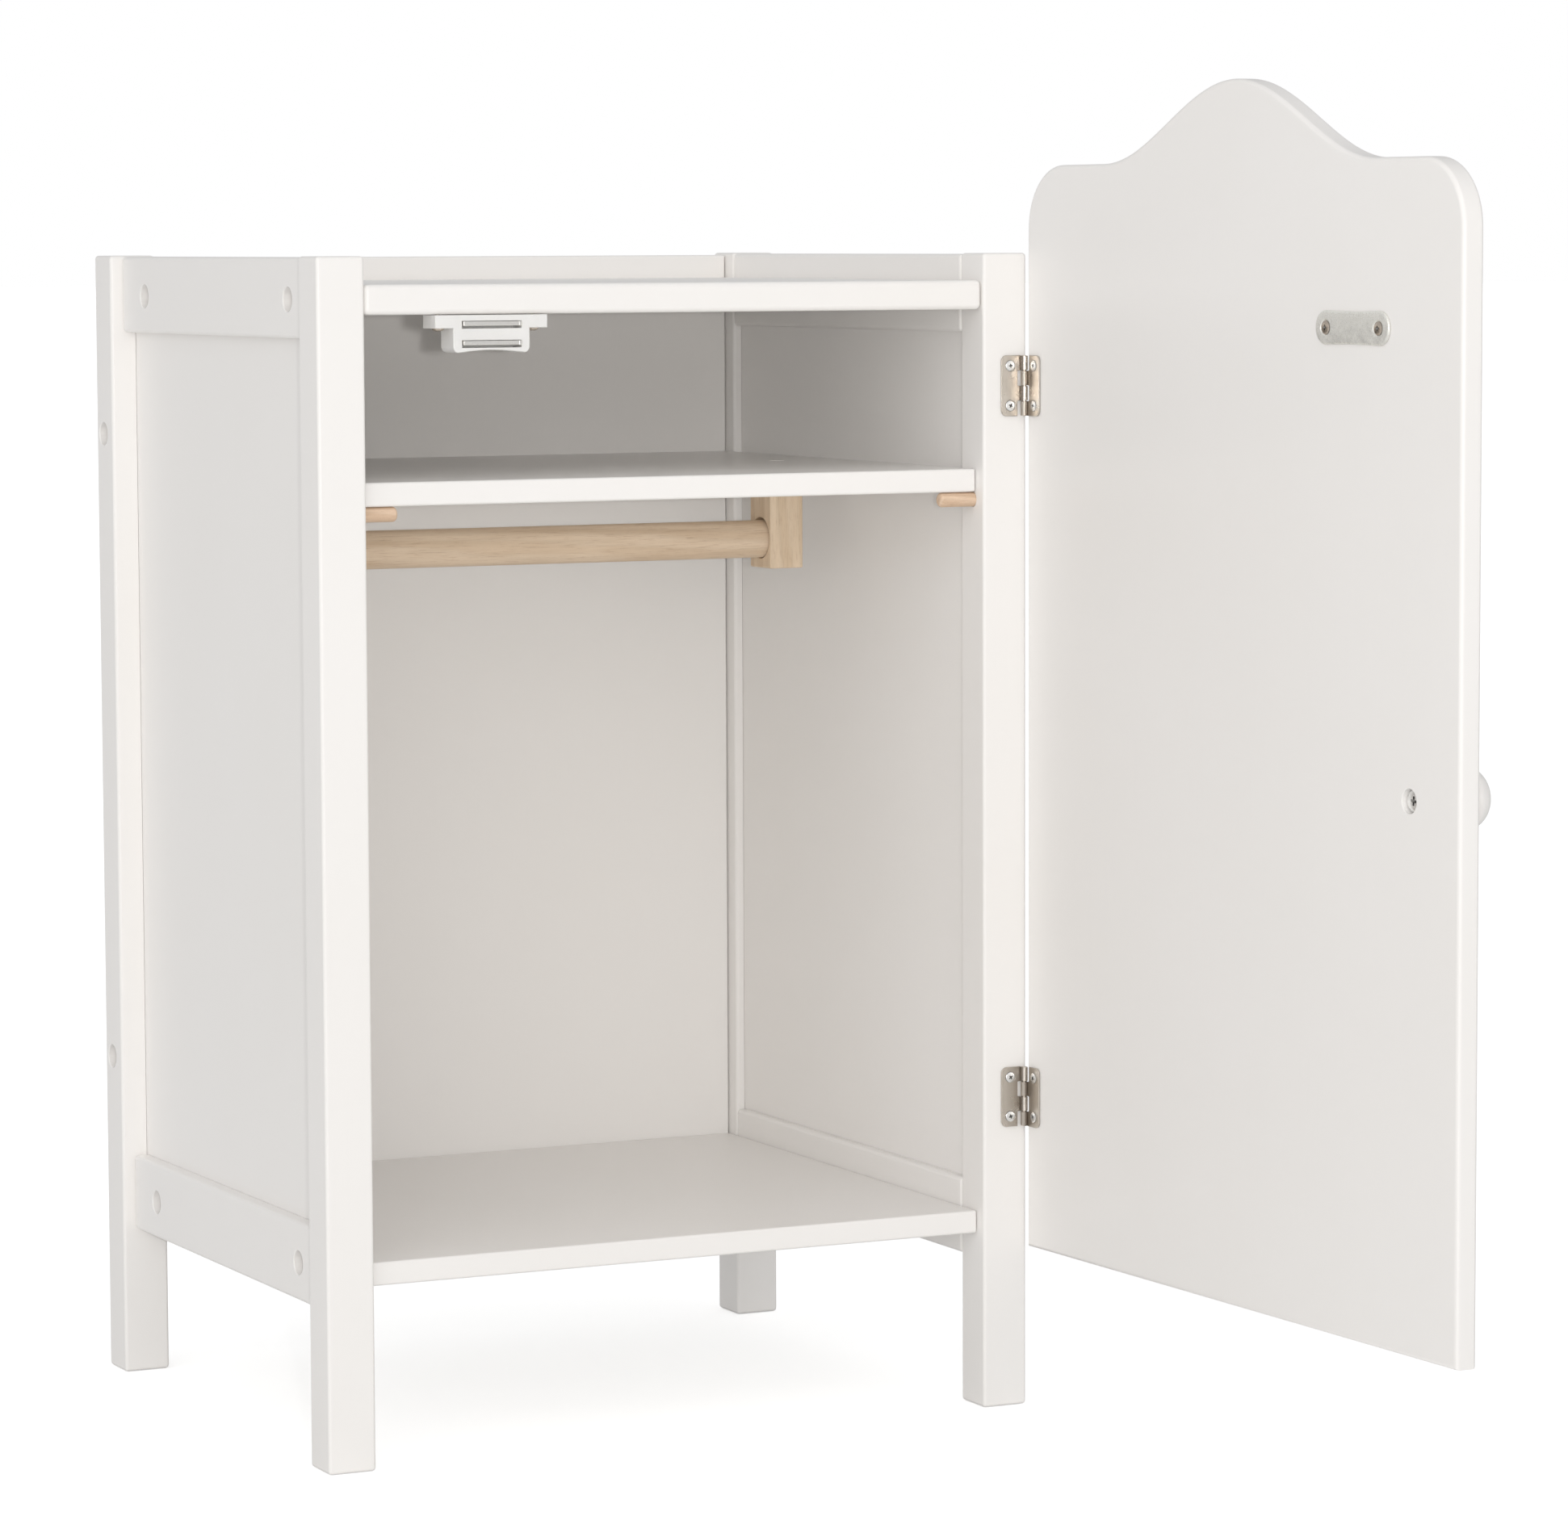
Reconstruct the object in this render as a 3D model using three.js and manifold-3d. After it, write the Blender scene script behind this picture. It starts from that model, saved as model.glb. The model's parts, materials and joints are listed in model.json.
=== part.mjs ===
// Miniature wardrobe for dolls' clothes: four posts joined by side rails, grooved-in side panels,
// a back panel, a top board sunk between the posts, a base board, a loose shelf on four pegs with
// a clothes rail hung under it, and one overlay door with a crested top on two butt hinges.
// Millimetres, +Z up. The front faces -Y and the hinges are on the right, at +X.
import * as THREE from 'three';
import { mergeVertices } from 'three/addons/utils/BufferGeometryUtils.js';
import { RoundedBoxGeometry } from 'three/addons/geometries/RoundedBoxGeometry.js';
import Module from 'manifold-3d';

const wasm = await Module();
wasm.setup();

// ---- Driving dimensions: carcass ------------------------------------------------------------
const WIDTH = 313;                 // across the posts
const DEPTH = 257;
const HEIGHT = 480;                // the posts; the door's crest stands above them
const POST = 20;                   // square posts
const FIT = 0.3;                   // clearance between pieces that fit together
const SOFT_EDGE = 1.6;             // rounding on the painted posts and boards
const RAIL_HEIGHT = 32;
const RAIL_INSET = 5;              // rail face behind the posts' outer face
const TOP_RAIL_DROP = 0.4;         // top of the rail below the top of the posts
const BOTTOM_RAIL_Z = 62.3;
const TENON = { long: 8, thick: 6, high: 20 };
const PANEL = 5;                   // side panel thickness
const PANEL_INSET = 11;            // side panel face behind the posts' outer face
const GROOVE_DEPTH = 4;
const BACK_PANEL = 9;
const BACK_PANEL_INSET = 7.3;      // back panel face behind the back posts' front faces
const BACK_PANEL_DROP = 1;
const TOP_BOARD = 12;
const TRAY_DEPTH = 11;             // top board below the top of the posts
const TOP_BOARD_INSET = 0.9;       // top board edge behind the posts' front faces
const BOARD = 9.5;                 // base board, shelf and door thickness
const BASE_Z = 73;
const BOARD_INSET = 5.5;           // base board and shelf edges behind the posts' front faces

// ---- Driving dimensions: shelf, pegs and clothes rail ---------------------------------------
const SHELF_Z = 382;               // underside of the shelf
const PEG = { radius: 3, proud: 16, deep: 9 };
const FRONT_PEG_Y = 9.5;
const BACK_PEG_INSET = 3.7;        // back peg behind the back posts' front faces
const BLOCK = { wide: 15.6, deep: 19.6, high: 36 };
const BLOCK_FROM_POST = 32;        // middle of a block from the post's inner side
const SOCKET = { radius: 8.7, deep: 10, drop: 23.4 };
const ROD_RADIUS = 8;

// ---- Driving dimensions: door, hinges, knob and catch ---------------------------------------
const DOOR_WIDTH = 309;
const DOOR_Z = 66.8;
const SHOULDER_Z = 515.6;
const SHOULDER_RADIUS = 26;
const CREST = { high: 31.6, halfWide: 97, steps: 20 };
const DOOR_EDGE = 2;               // rounding round the slab
const DOOR_OPEN = THREE.MathUtils.degToRad(92.4);
const HINGE = { high: 25, leafWide: 10.2, leaf: 0.8, gap: 3.4, barrel: 1.5, bore: 1, pin: 0.7 };
const HINGE_Z = [130.3, 425.6];    // middles of the hinges
const HINGE_SCREW = { across: 6.1, up: 8.2 };
const HINGE_AXIS = { x: WIDTH - 1.9, y: -HINGE.gap / 2 };
const SEAT = 0.2;                  // gap under a plate that is screwed down
const DOOR_EDGE_X = 0.6;           // door's hinge edge from the pin axis
const KNOB = { fromHinge: 276.4, z: 276.5, radius: 12, neck: 6, foot: 8.2, long: 24, cap: 8 };
const KNOB_PILOT = 12.5;           // depth of the hole for the knob's screw
const KNOB_SINK = { radius: 4.5, deep: 4.6 };
const CATCH = { fromHinge: 238.4, wide: 48, body: 32.7, flange: 5.2, high: 14.9, deep: 13 };
const CATCH_FRONT = -1;
const POLE = { long: 25, high: 2.5, proud: 1, deep: 9, drops: [3.8, 11.4] };
const CATCH_SCREW_SPACING = 40.4;
const STRIKE = { long: 49, high: 13, thick: 1, waist: 0.35, rise: 2.8 };
const STRIKE_SCREW_SPACING = 35;

// ---- Screws: head radius, head height, shank radius, length ---------------------------------
const HINGE_SCREWS = { head: 2, cone: 0.9, shank: 1, long: 8 };
const STRIKE_SCREWS = { head: 2.4, cone: 1, shank: 1, long: 7 };
const CATCH_SCREWS = { head: 2.6, cone: 1.2, shank: 1, long: 12 };
const BOARD_SCREWS = { head: 4, cone: 2.4, shank: 1.7, long: 27 };
const BACK_SCREWS = { head: 4, cone: 2.4, shank: 1.7, long: 30 };
const BLOCK_SCREWS = { head: 3.2, cone: 1.9, shank: 1.4, long: 22 };
const KNOB_SCREW = { head: 4, cone: 2.2, shank: 1.8, long: 16 };
const SINK = { radius: 4.9, railDeep: 8, postDeep: 8 };
const BOARD_SCREW_FROM_POST = { front: 24.5, back: 27.5 };
const BACK_SCREW_Z = [136.2, 404.2];

// ---- Finishes -------------------------------------------------------------------------------
const PAINT = { color: 0xe4dfda, roughness: 0.45, metalness: 0 };
const BARE_WOOD = { color: 0xd6b68c, roughness: 0.65, metalness: 0 };
const NICKEL = { color: 0xb3a898, roughness: 0.3, metalness: 1 };
const ZINC = { color: 0xbfc3c6, roughness: 0.35, metalness: 1 };
const WHITE_PLASTIC = { color: 0xe9e6e0, roughness: 0.4, metalness: 0 };
const STEEL = { color: 0x9c9a97, roughness: 0.35, metalness: 1 };

// ---- Solids and cuts ------------------------------------------------------------------------
function merged(geometry) {
  const bare = geometry.clone();
  bare.deleteAttribute('normal');
  bare.deleteAttribute('uv');
  const joined = mergeVertices(bare, 1e-4);
  const corners = joined.index.array;
  const kept = [];
  for (let i = 0; i < corners.length; i += 3) {
    const [a, b, c] = corners.slice(i, i + 3);
    if (a !== b && b !== c && c !== a) kept.push(a, b, c);
  }
  return { points: joined.attributes.position.array, corners: kept };
}

function signedVolume({ points, corners }) {
  const corner = (i) => new THREE.Vector3().fromArray(points, 3 * corners[i]);
  let sum = 0;
  for (let i = 0; i < corners.length; i += 3) {
    sum += corner(i).dot(corner(i + 1).cross(corner(i + 2)));
  }
  return sum / 6;
}

function solidOf(geometry) {
  const mesh = merged(geometry);
  if (signedVolume(mesh) < 0) mesh.corners.reverse();
  return new wasm.Manifold(new wasm.Mesh({
    numProp: 3,
    vertProperties: new Float32Array(mesh.points),
    triVerts: new Uint32Array(mesh.corners),
  }));
}

function geometryOf(solid) {
  const mesh = solid.getMesh();
  const geometry = new THREE.BufferGeometry();
  geometry.setAttribute('position', new THREE.BufferAttribute(mesh.vertProperties, 3));
  geometry.setIndex(new THREE.BufferAttribute(mesh.triVerts, 1));
  geometry.computeVertexNormals();
  return geometry;
}

// A mesh made round its own place `at`; cutters are given in the frame of its parent group.
function piece(name, finish, at, body, cutters = []) {
  let solid = solidOf(body);
  for (const cutter of cutters) {
    solid = solid.subtract(solidOf(cutter.translate(-at[0], -at[1], -at[2])));
  }
  const mesh = new THREE.Mesh(geometryOf(solid), new THREE.MeshStandardMaterial(finish));
  mesh.name = name;
  mesh.position.set(...at);
  return mesh;
}

// A board between two corners, with all its edges rounded.
function board(name, finish, low, high, radius, cutters = []) {
  const size = low.map((value, i) => high[i] - value);
  const middle = low.map((value, i) => (high[i] + value) / 2);
  return piece(name, finish, middle, new RoundedBoxGeometry(...size, 1, radius), cutters);
}

function block(low, high) {
  const size = low.map((value, i) => high[i] - value);
  const middle = low.map((value, i) => (high[i] + value) / 2);
  return new THREE.BoxGeometry(...size).translate(...middle);
}

// A round hole along an axis, from one place to another on that axis.
function bore(axis, radius, from, to, sides = 8, endRadius = radius) {
  const along = 'xyz'.indexOf(axis);
  const length = Math.abs(to[along] - from[along]);
  const geometry = new THREE.CylinderGeometry(endRadius, radius, length, sides);
  const middle = from.map((value, i) => (value + to[i]) / 2);
  const turned = new THREE.Quaternion().setFromUnitVectors(
    new THREE.Vector3(0, 1, 0),
    new THREE.Vector3(...to).sub(new THREE.Vector3(...from)).normalize(),
  );
  return geometry.applyQuaternion(turned).translate(...middle);
}

function shifted(place, axis, distance) {
  const moved = [...place];
  moved['xyz'.indexOf(axis)] += distance;
  return moved;
}

// A countersunk screw whose head's flat top is at the local origin; the shank runs along -Y.
function screwGeometry({ head, cone, shank, long }, sides = 10) {
  const tip = 2 * shank;
  const profile = [[0, -long], [shank, tip - long], [shank, -cone], [head, 0], [0, 0]];
  return new THREE.LatheGeometry(profile.map(([x, y]) => new THREE.Vector2(x, y)), sides);
}

function screw(name, finish, kind, at, direction) {
  const mesh = piece(name, finish, at, screwGeometry(kind));
  mesh.quaternion.setFromUnitVectors(new THREE.Vector3(0, -1, 0), new THREE.Vector3(...direction));
  return mesh;
}

// The holes a screw needs: a shank hole and a cone under its head, both with clearance.
function screwHoles({ head, cone, shank, long }, at, axis, sense) {
  const neck = shifted(at, axis, sense * cone);
  const end = shifted(at, axis, sense * (long + 1));
  const mouth = shifted(at, axis, -sense * 2 * FIT);
  const room = FIT + 2 * FIT * (head - shank) / cone;
  return [
    bore(axis, shank + FIT, shifted(at, axis, -sense), end),
    bore(axis, head + room, mouth, neck, 10, shank + FIT),
  ];
}

// ---- Places worked out from the driving dimensions ------------------------------------------
const SIDES = ['left', 'right'];
const RAIL_THICK = POST - RAIL_INSET;
const TOP_RAIL_Z = HEIGHT - TOP_RAIL_DROP - RAIL_HEIGHT;
const RAIL_Z = { top: TOP_RAIL_Z, bottom: BOTTOM_RAIL_Z };
const PANEL_SPAN = [BOTTOM_RAIL_Z + RAIL_HEIGHT - GROOVE_DEPTH, TOP_RAIL_Z + GROOVE_DEPTH];
const BACK_PANEL_Y = DEPTH - POST + BACK_PANEL_INSET;
const TOP_BOARD_Z = HEIGHT - TRAY_DEPTH - TOP_BOARD;
const RAIL_SCREW_Z = { top: TOP_BOARD_Z + TOP_BOARD / 2, bottom: BASE_Z + BOARD / 2 };
const RAIL_SCREW_Y = [POST + BOARD_SCREW_FROM_POST.front, DEPTH - POST - BOARD_SCREW_FROM_POST.back];
const PEG_Z = SHELF_Z - SEAT - PEG.radius;
const PEG_Y = { front: FRONT_PEG_Y, back: DEPTH - POST + BACK_PEG_INSET };
const SOCKET_Z = SHELF_Z - SOCKET.drop;
const CATCH_X = HINGE_AXIS.x + DOOR_EDGE_X - CATCH.fromHinge;

// mirrors a distance from the left side of the cabinet to its right side
const across = (side, x) => (side === 'left' ? x : WIDTH - x);
const inward = (side) => (side === 'left' ? 1 : -1);
const span = (a, b) => [Math.min(a, b), Math.max(a, b)];

// ---- Posts, rails and side panels -----------------------------------------------------------
function panelGroove(side) {
  const [x0, x1] = span(across(side, PANEL_INSET - FIT), across(side, PANEL_INSET + PANEL + FIT));
  const [z0, z1] = PANEL_SPAN;
  const y0 = POST - GROOVE_DEPTH;
  return block([x0, y0, z0 - FIT], [x1, DEPTH - y0, z1 + FIT]);
}

function tenonBlock(side, z, clearance) {
  const middle = across(side, RAIL_INSET + RAIL_THICK / 2);
  const half = TENON.thick / 2 + clearance;
  const z0 = z + (RAIL_HEIGHT - TENON.high) / 2;
  const reach = POST - TENON.long - clearance;
  return block(
    [middle - half, reach, z0 - clearance],
    [middle + half, DEPTH - reach, z0 + TENON.high + clearance],
  );
}

// drilled with the sides together, so a back peg's hole also nicks the side panel's edge
function pegHole(side, end) {
  return bore('x', PEG.radius + FIT,
    [across(side, POST + 1), PEG_Y[end], PEG_Z],
    [across(side, POST - PEG.deep - FIT), PEG_Y[end], PEG_Z], 12);
}

function postCutters(side, end) {
  const cutters = [
    panelGroove(side),
    tenonBlock(side, RAIL_Z.top, FIT),
    tenonBlock(side, RAIL_Z.bottom, FIT),
    pegHole(side, end),
  ];
  if (end === 'back') {
    const y = BACK_PANEL_Y + BACK_PANEL / 2;
    for (const z of BACK_SCREW_Z) cutters.push(...sunkHoles(side, 0, SINK.postDeep, y, z, BACK_SCREWS));
  }
  return cutters;
}

// A deep round sinking from the outer face and the clearance hole of the screw at its floor.
function sunkHoles(side, face, deep, y, z, kind) {
  const sense = inward(side);
  const floor = [across(side, face + deep), y, z];
  return [
    bore('x', SINK.radius, [across(side, face - 1), y, z], floor, 12),
    ...screwHoles(kind, shifted(floor, 'x', sense * FIT), 'x', sense),
  ];
}

function hingeScrewPlaces() {
  const places = [];
  for (const [i, z] of HINGE_Z.entries()) {
    for (const [j, up] of [-1, 1].entries()) {
      places.push({ label: `${['lower', 'upper'][i]}_${j + 1}`, z: z + up * HINGE_SCREW.up });
    }
  }
  return places;
}

function posts() {
  const made = [];
  for (const side of SIDES) {
    for (const end of ['front', 'back']) {
      const [x0, x1] = span(across(side, 0), across(side, POST));
      const y0 = end === 'front' ? 0 : DEPTH - POST;
      const cutters = postCutters(side, end);
      if (side === 'right' && end === 'front') {
        const x = HINGE_AXIS.x - HINGE_SCREW.across;
        for (const { z } of hingeScrewPlaces()) {
          cutters.push(...screwHoles(HINGE_SCREWS, [x, -SEAT - HINGE.leaf, z], 'y', 1));
        }
      }
      made.push(board(`post_${end}_${side}`, PAINT,
        [x0, y0, 0], [x1, y0 + POST, HEIGHT], SOFT_EDGE, cutters));
    }
  }
  return made;
}

function sideRails() {
  const made = [];
  for (const side of SIDES) {
    const [x0, x1] = span(across(side, RAIL_INSET), across(side, POST));
    for (const level of ['top', 'bottom']) {
      const z = RAIL_Z[level];
      const body = board('body', PAINT,
        [x0, POST + FIT, z], [x1, DEPTH - POST - FIT, z + RAIL_HEIGHT], SOFT_EDGE);
      const at = body.position.toArray();
      const tenons = tenonBlock(side, z, 0).translate(-at[0], -at[1], -at[2]);
      const joined = geometryOf(solidOf(body.geometry).add(solidOf(tenons)));
      const cutters = [panelGroove(side)];
      for (const y of RAIL_SCREW_Y) {
        cutters.push(...sunkHoles(side, RAIL_INSET, SINK.railDeep, y, RAIL_SCREW_Z[level],
          BOARD_SCREWS));
      }
      made.push(piece(`side_rail_${level}_${side}`, PAINT, at, joined, cutters));
    }
  }
  return made;
}

function sidePanels() {
  return SIDES.map((side) => {
    const [x0, x1] = span(across(side, PANEL_INSET), across(side, PANEL_INSET + PANEL));
    const y0 = POST - GROOVE_DEPTH + FIT;
    const [z0, z1] = PANEL_SPAN;
    return piece(`side_panel_${side}`, PAINT,
      [(x0 + x1) / 2, DEPTH / 2, (z0 + z1) / 2],
      new THREE.BoxGeometry(PANEL, DEPTH - 2 * y0, z1 - z0 - 2 * FIT),
      [pegHole(side, 'back')]);
  });
}

// ---- Boards between the sides ---------------------------------------------------------------
function endHoles(level) {
  const holes = [];
  for (const side of SIDES) {
    const x = across(side, RAIL_INSET + SINK.railDeep) + inward(side) * FIT;
    for (const y of RAIL_SCREW_Y) {
      holes.push(...screwHoles(BOARD_SCREWS, [x, y, RAIL_SCREW_Z[level]], 'x', inward(side)));
    }
  }
  return holes;
}

function backPanel() {
  const y = BACK_PANEL_Y + BACK_PANEL / 2;
  const cutters = [];
  for (const side of SIDES) {
    const x = across(side, SINK.postDeep) + inward(side) * FIT;
    for (const z of BACK_SCREW_Z) {
      cutters.push(...screwHoles(BACK_SCREWS, [x, y, z], 'x', inward(side)));
    }
  }
  return board('back_panel', PAINT,
    [POST + FIT, BACK_PANEL_Y, BASE_Z],
    [WIDTH - POST - FIT, BACK_PANEL_Y + BACK_PANEL, HEIGHT - BACK_PANEL_DROP], 1.2, cutters);
}

function topBoard() {
  const catchScrews = catchScrewXs().flatMap((x) => screwHoles(CATCH_SCREWS,
    [x, catchScrewY(), TOP_BOARD_Z - SEAT - CATCH.flange], 'z', 1));
  return board('top_board', PAINT,
    [POST + FIT, TOP_BOARD_INSET, TOP_BOARD_Z],
    [WIDTH - POST - FIT, BACK_PANEL_Y - FIT, TOP_BOARD_Z + TOP_BOARD], 2.4,
    [...endHoles('top'), ...catchScrews]);
}

function baseBoard() {
  return board('base_board', PAINT,
    [POST + FIT, BOARD_INSET, BASE_Z],
    [WIDTH - POST - FIT, BACK_PANEL_Y - FIT, BASE_Z + BOARD], 1, endHoles('bottom'));
}

// ---- Shelf unit: shelf, two blocks and the rod between them ---------------------------------
const blockX = (side) => across(side, POST + BLOCK_FROM_POST);
const BLOCK_SCREW_TOP = SHELF_Z + BOARD - FIT;

function middleShelf() {
  const cutters = SIDES.flatMap((side) => screwHoles(BLOCK_SCREWS,
    [blockX(side), DEPTH / 2, BLOCK_SCREW_TOP], 'z', -1));
  return board('middle_shelf', PAINT,
    [POST + FIT, BOARD_INSET + 0.8, SHELF_Z],
    [WIDTH - POST - FIT, BACK_PANEL_Y - FIT, SHELF_Z + BOARD], 1, cutters);
}

function railBlock(side) {
  const x = blockX(side);
  const top = SHELF_Z - SEAT;
  const face = x + inward(side) * BLOCK.wide / 2;
  const cutters = [
    bore('x', SOCKET.radius,
      [face + inward(side), DEPTH / 2, SOCKET_Z],
      [face - inward(side) * SOCKET.deep, DEPTH / 2, SOCKET_Z], 20),
    ...screwHoles(BLOCK_SCREWS, [x, DEPTH / 2, BLOCK_SCREW_TOP], 'z', -1),
  ];
  return board(`rail_block_${side}`, BARE_WOOD,
    [x - BLOCK.wide / 2, DEPTH / 2 - BLOCK.deep / 2, top - BLOCK.high],
    [x + BLOCK.wide / 2, DEPTH / 2 + BLOCK.deep / 2, top], 0.5, cutters);
}

function clothesRail() {
  const clear = WIDTH - 2 * (POST + BLOCK_FROM_POST) - BLOCK.wide;
  const half = clear / 2 + SOCKET.deep - 2 * FIT;
  const chamfer = 0.8;
  const profile = [
    [0, -half], [ROD_RADIUS - chamfer, -half], [ROD_RADIUS, chamfer - half],
    [ROD_RADIUS, half - chamfer], [ROD_RADIUS - chamfer, half], [0, half],
  ];
  const turned = new THREE.LatheGeometry(profile.map(([x, y]) => new THREE.Vector2(x, y)), 20);
  const rod = piece('clothes_rail', BARE_WOOD,
    [WIDTH / 2, DEPTH / 2, SOCKET_Z - SOCKET.radius + FIT + ROD_RADIUS], turned);
  rod.rotation.z = Math.PI / 2;
  return rod;
}

function shelfPegs() {
  const made = [];
  for (const end of ['front', 'back']) {
    for (const side of SIDES) {
      const { radius, proud, deep } = PEG;
      const nose = 1.6;
      const profile = [[0, -deep], [radius, -deep], [radius, proud - nose]];
      for (const turn of [0.5, 1]) {
        const angle = turn * Math.PI / 2;
        profile.push([radius - nose + nose * Math.cos(angle), proud - nose + nose * Math.sin(angle)]);
      }
      profile.push([0, proud]);
      const turned = new THREE.LatheGeometry(profile.map(([x, y]) => new THREE.Vector2(x, y)), 12);
      const peg = piece(`shelf_peg_${end}_${side}`, BARE_WOOD,
        [across(side, POST), PEG_Y[end], PEG_Z], turned);
      peg.rotation.z = -inward(side) * Math.PI / 2;
      made.push(peg);
    }
  }
  return made;
}

// ---- Door, knob and strike plate, drawn shut in a group whose origin is the pin axis --------
const DOOR_INNER_Y = -HINGE.gap / 2;
const DOOR_RIGHT = DOOR_EDGE_X;
const DOOR_LEFT = DOOR_EDGE_X - DOOR_WIDTH;

function doorOutline(inset) {
  const left = DOOR_LEFT + inset;
  const right = DOOR_RIGHT - inset;
  const middle = (left + right) / 2;
  const radius = SHOULDER_RADIUS - inset;
  const shoulder = SHOULDER_Z - inset;
  const shape = new THREE.Shape();
  shape.moveTo(left, DOOR_Z + inset);
  shape.lineTo(right, DOOR_Z + inset);
  shape.absarc(right - radius, shoulder - radius, radius, 0, Math.PI / 2);
  for (let i = 0; i <= CREST.steps; i += 1) {
    const reach = 1 - 2 * i / CREST.steps;
    const rise = CREST.high * (1 + Math.cos(Math.PI * reach)) / 2;
    shape.lineTo(middle + CREST.halfWide * reach, shoulder + rise);
  }
  shape.absarc(left + radius, shoulder - radius, radius, Math.PI / 2, Math.PI);
  shape.closePath();
  return shape;
}

function doorSlab() {
  const slab = new THREE.ExtrudeGeometry(doorOutline(DOOR_EDGE), {
    depth: BOARD - 2 * DOOR_EDGE,
    bevelEnabled: true,
    bevelThickness: DOOR_EDGE,
    bevelSize: DOOR_EDGE,
    bevelSegments: 1,
    curveSegments: 5,
  });
  // the outline is drawn in X and Z, and the slab's thickness runs back along +Y
  slab.rotateX(Math.PI / 2).translate(0, DOOR_INNER_Y - DOOR_EDGE, 0);
  const knobX = DOOR_EDGE_X - KNOB.fromHinge;
  const strikeX = DOOR_EDGE_X - CATCH.fromHinge;
  const cutters = [
    bore('y', KNOB_SINK.radius, [knobX, DOOR_INNER_Y + 1, KNOB.z],
      [knobX, DOOR_INNER_Y - KNOB_SINK.deep, KNOB.z], 14),
    bore('y', KNOB_SCREW.shank + FIT, [knobX, DOOR_INNER_Y + 1, KNOB.z],
      [knobX, DOOR_INNER_Y - BOARD - 1, KNOB.z]),
  ];
  for (const { z } of hingeScrewPlaces()) {
    cutters.push(...screwHoles(HINGE_SCREWS,
      [-HINGE_SCREW.across, DOOR_INNER_Y + SEAT + HINGE.leaf, z], 'y', -1));
  }
  for (const x of strikeScrewXs(strikeX)) {
    cutters.push(...screwHoles(STRIKE_SCREWS,
      [x, DOOR_INNER_Y + SEAT + STRIKE.thick, strikeZ()], 'y', -1));
  }
  return piece('door', PAINT, [0, 0, 0], slab, cutters);
}

const strikeZ = () => TOP_BOARD_Z - SEAT - (POLE.drops[0] + POLE.drops[1]) / 2 + STRIKE.rise;
const strikeScrewXs = (middle) => [-1, 1].map((way) => middle + way * STRIKE_SCREW_SPACING / 2);

function knob() {
  const { radius, neck, foot, long, cap } = KNOB;
  // from the door outwards: foot, hollow to the neck, flare and domed cap
  const profile = [[0, 0], [foot, 0], [foot - 0.6, 1.4], [neck, 4.4], [neck, 6.4], [neck + 2, 9]];
  const ring = long - cap;
  for (const turn of [-0.35, 0, 0.3, 0.6, 0.85]) {
    const angle = turn * Math.PI / 2;
    profile.push([radius * Math.cos(angle), ring + cap * Math.sin(angle)]);
  }
  profile.push([0, long]);
  const turned = new THREE.LatheGeometry(profile.map(([x, y]) => new THREE.Vector2(x, y)), 18);
  const at = [DOOR_EDGE_X - KNOB.fromHinge, DOOR_INNER_Y - BOARD - SEAT, KNOB.z];
  turned.rotateX(Math.PI);
  const pilot = bore('y', KNOB_SCREW.shank + FIT, shifted(at, 'y', 1), shifted(at, 'y', -KNOB_PILOT));
  return piece('knob', PAINT, at, turned, [pilot]);
}

function strikePlate() {
  const { long, high, thick, waist } = STRIKE;
  const middle = DOOR_EDGE_X - CATCH.fromHinge;
  const round = high / 2;
  const straight = long / 2 - round;
  const shape = new THREE.Shape();
  shape.absarc(straight, 0, round, -Math.PI / 2, Math.PI / 2);
  shape.quadraticCurveTo(0, round - 2 * waist, -straight, round);
  shape.absarc(-straight, 0, round, Math.PI / 2, 1.5 * Math.PI);
  shape.quadraticCurveTo(0, 2 * waist - round, straight, -round);
  const plate = new THREE.ExtrudeGeometry(shape, {
    depth: thick, bevelEnabled: false, curveSegments: 6,
  });
  plate.rotateX(Math.PI / 2);
  const at = [middle, DOOR_INNER_Y + SEAT + thick, strikeZ()];
  const cutters = strikeScrewXs(middle).flatMap((x) => screwHoles(STRIKE_SCREWS,
    [x, at[1], at[2]], 'y', -1));
  return piece('strike_plate', ZINC, at, plate, cutters);
}

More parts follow.
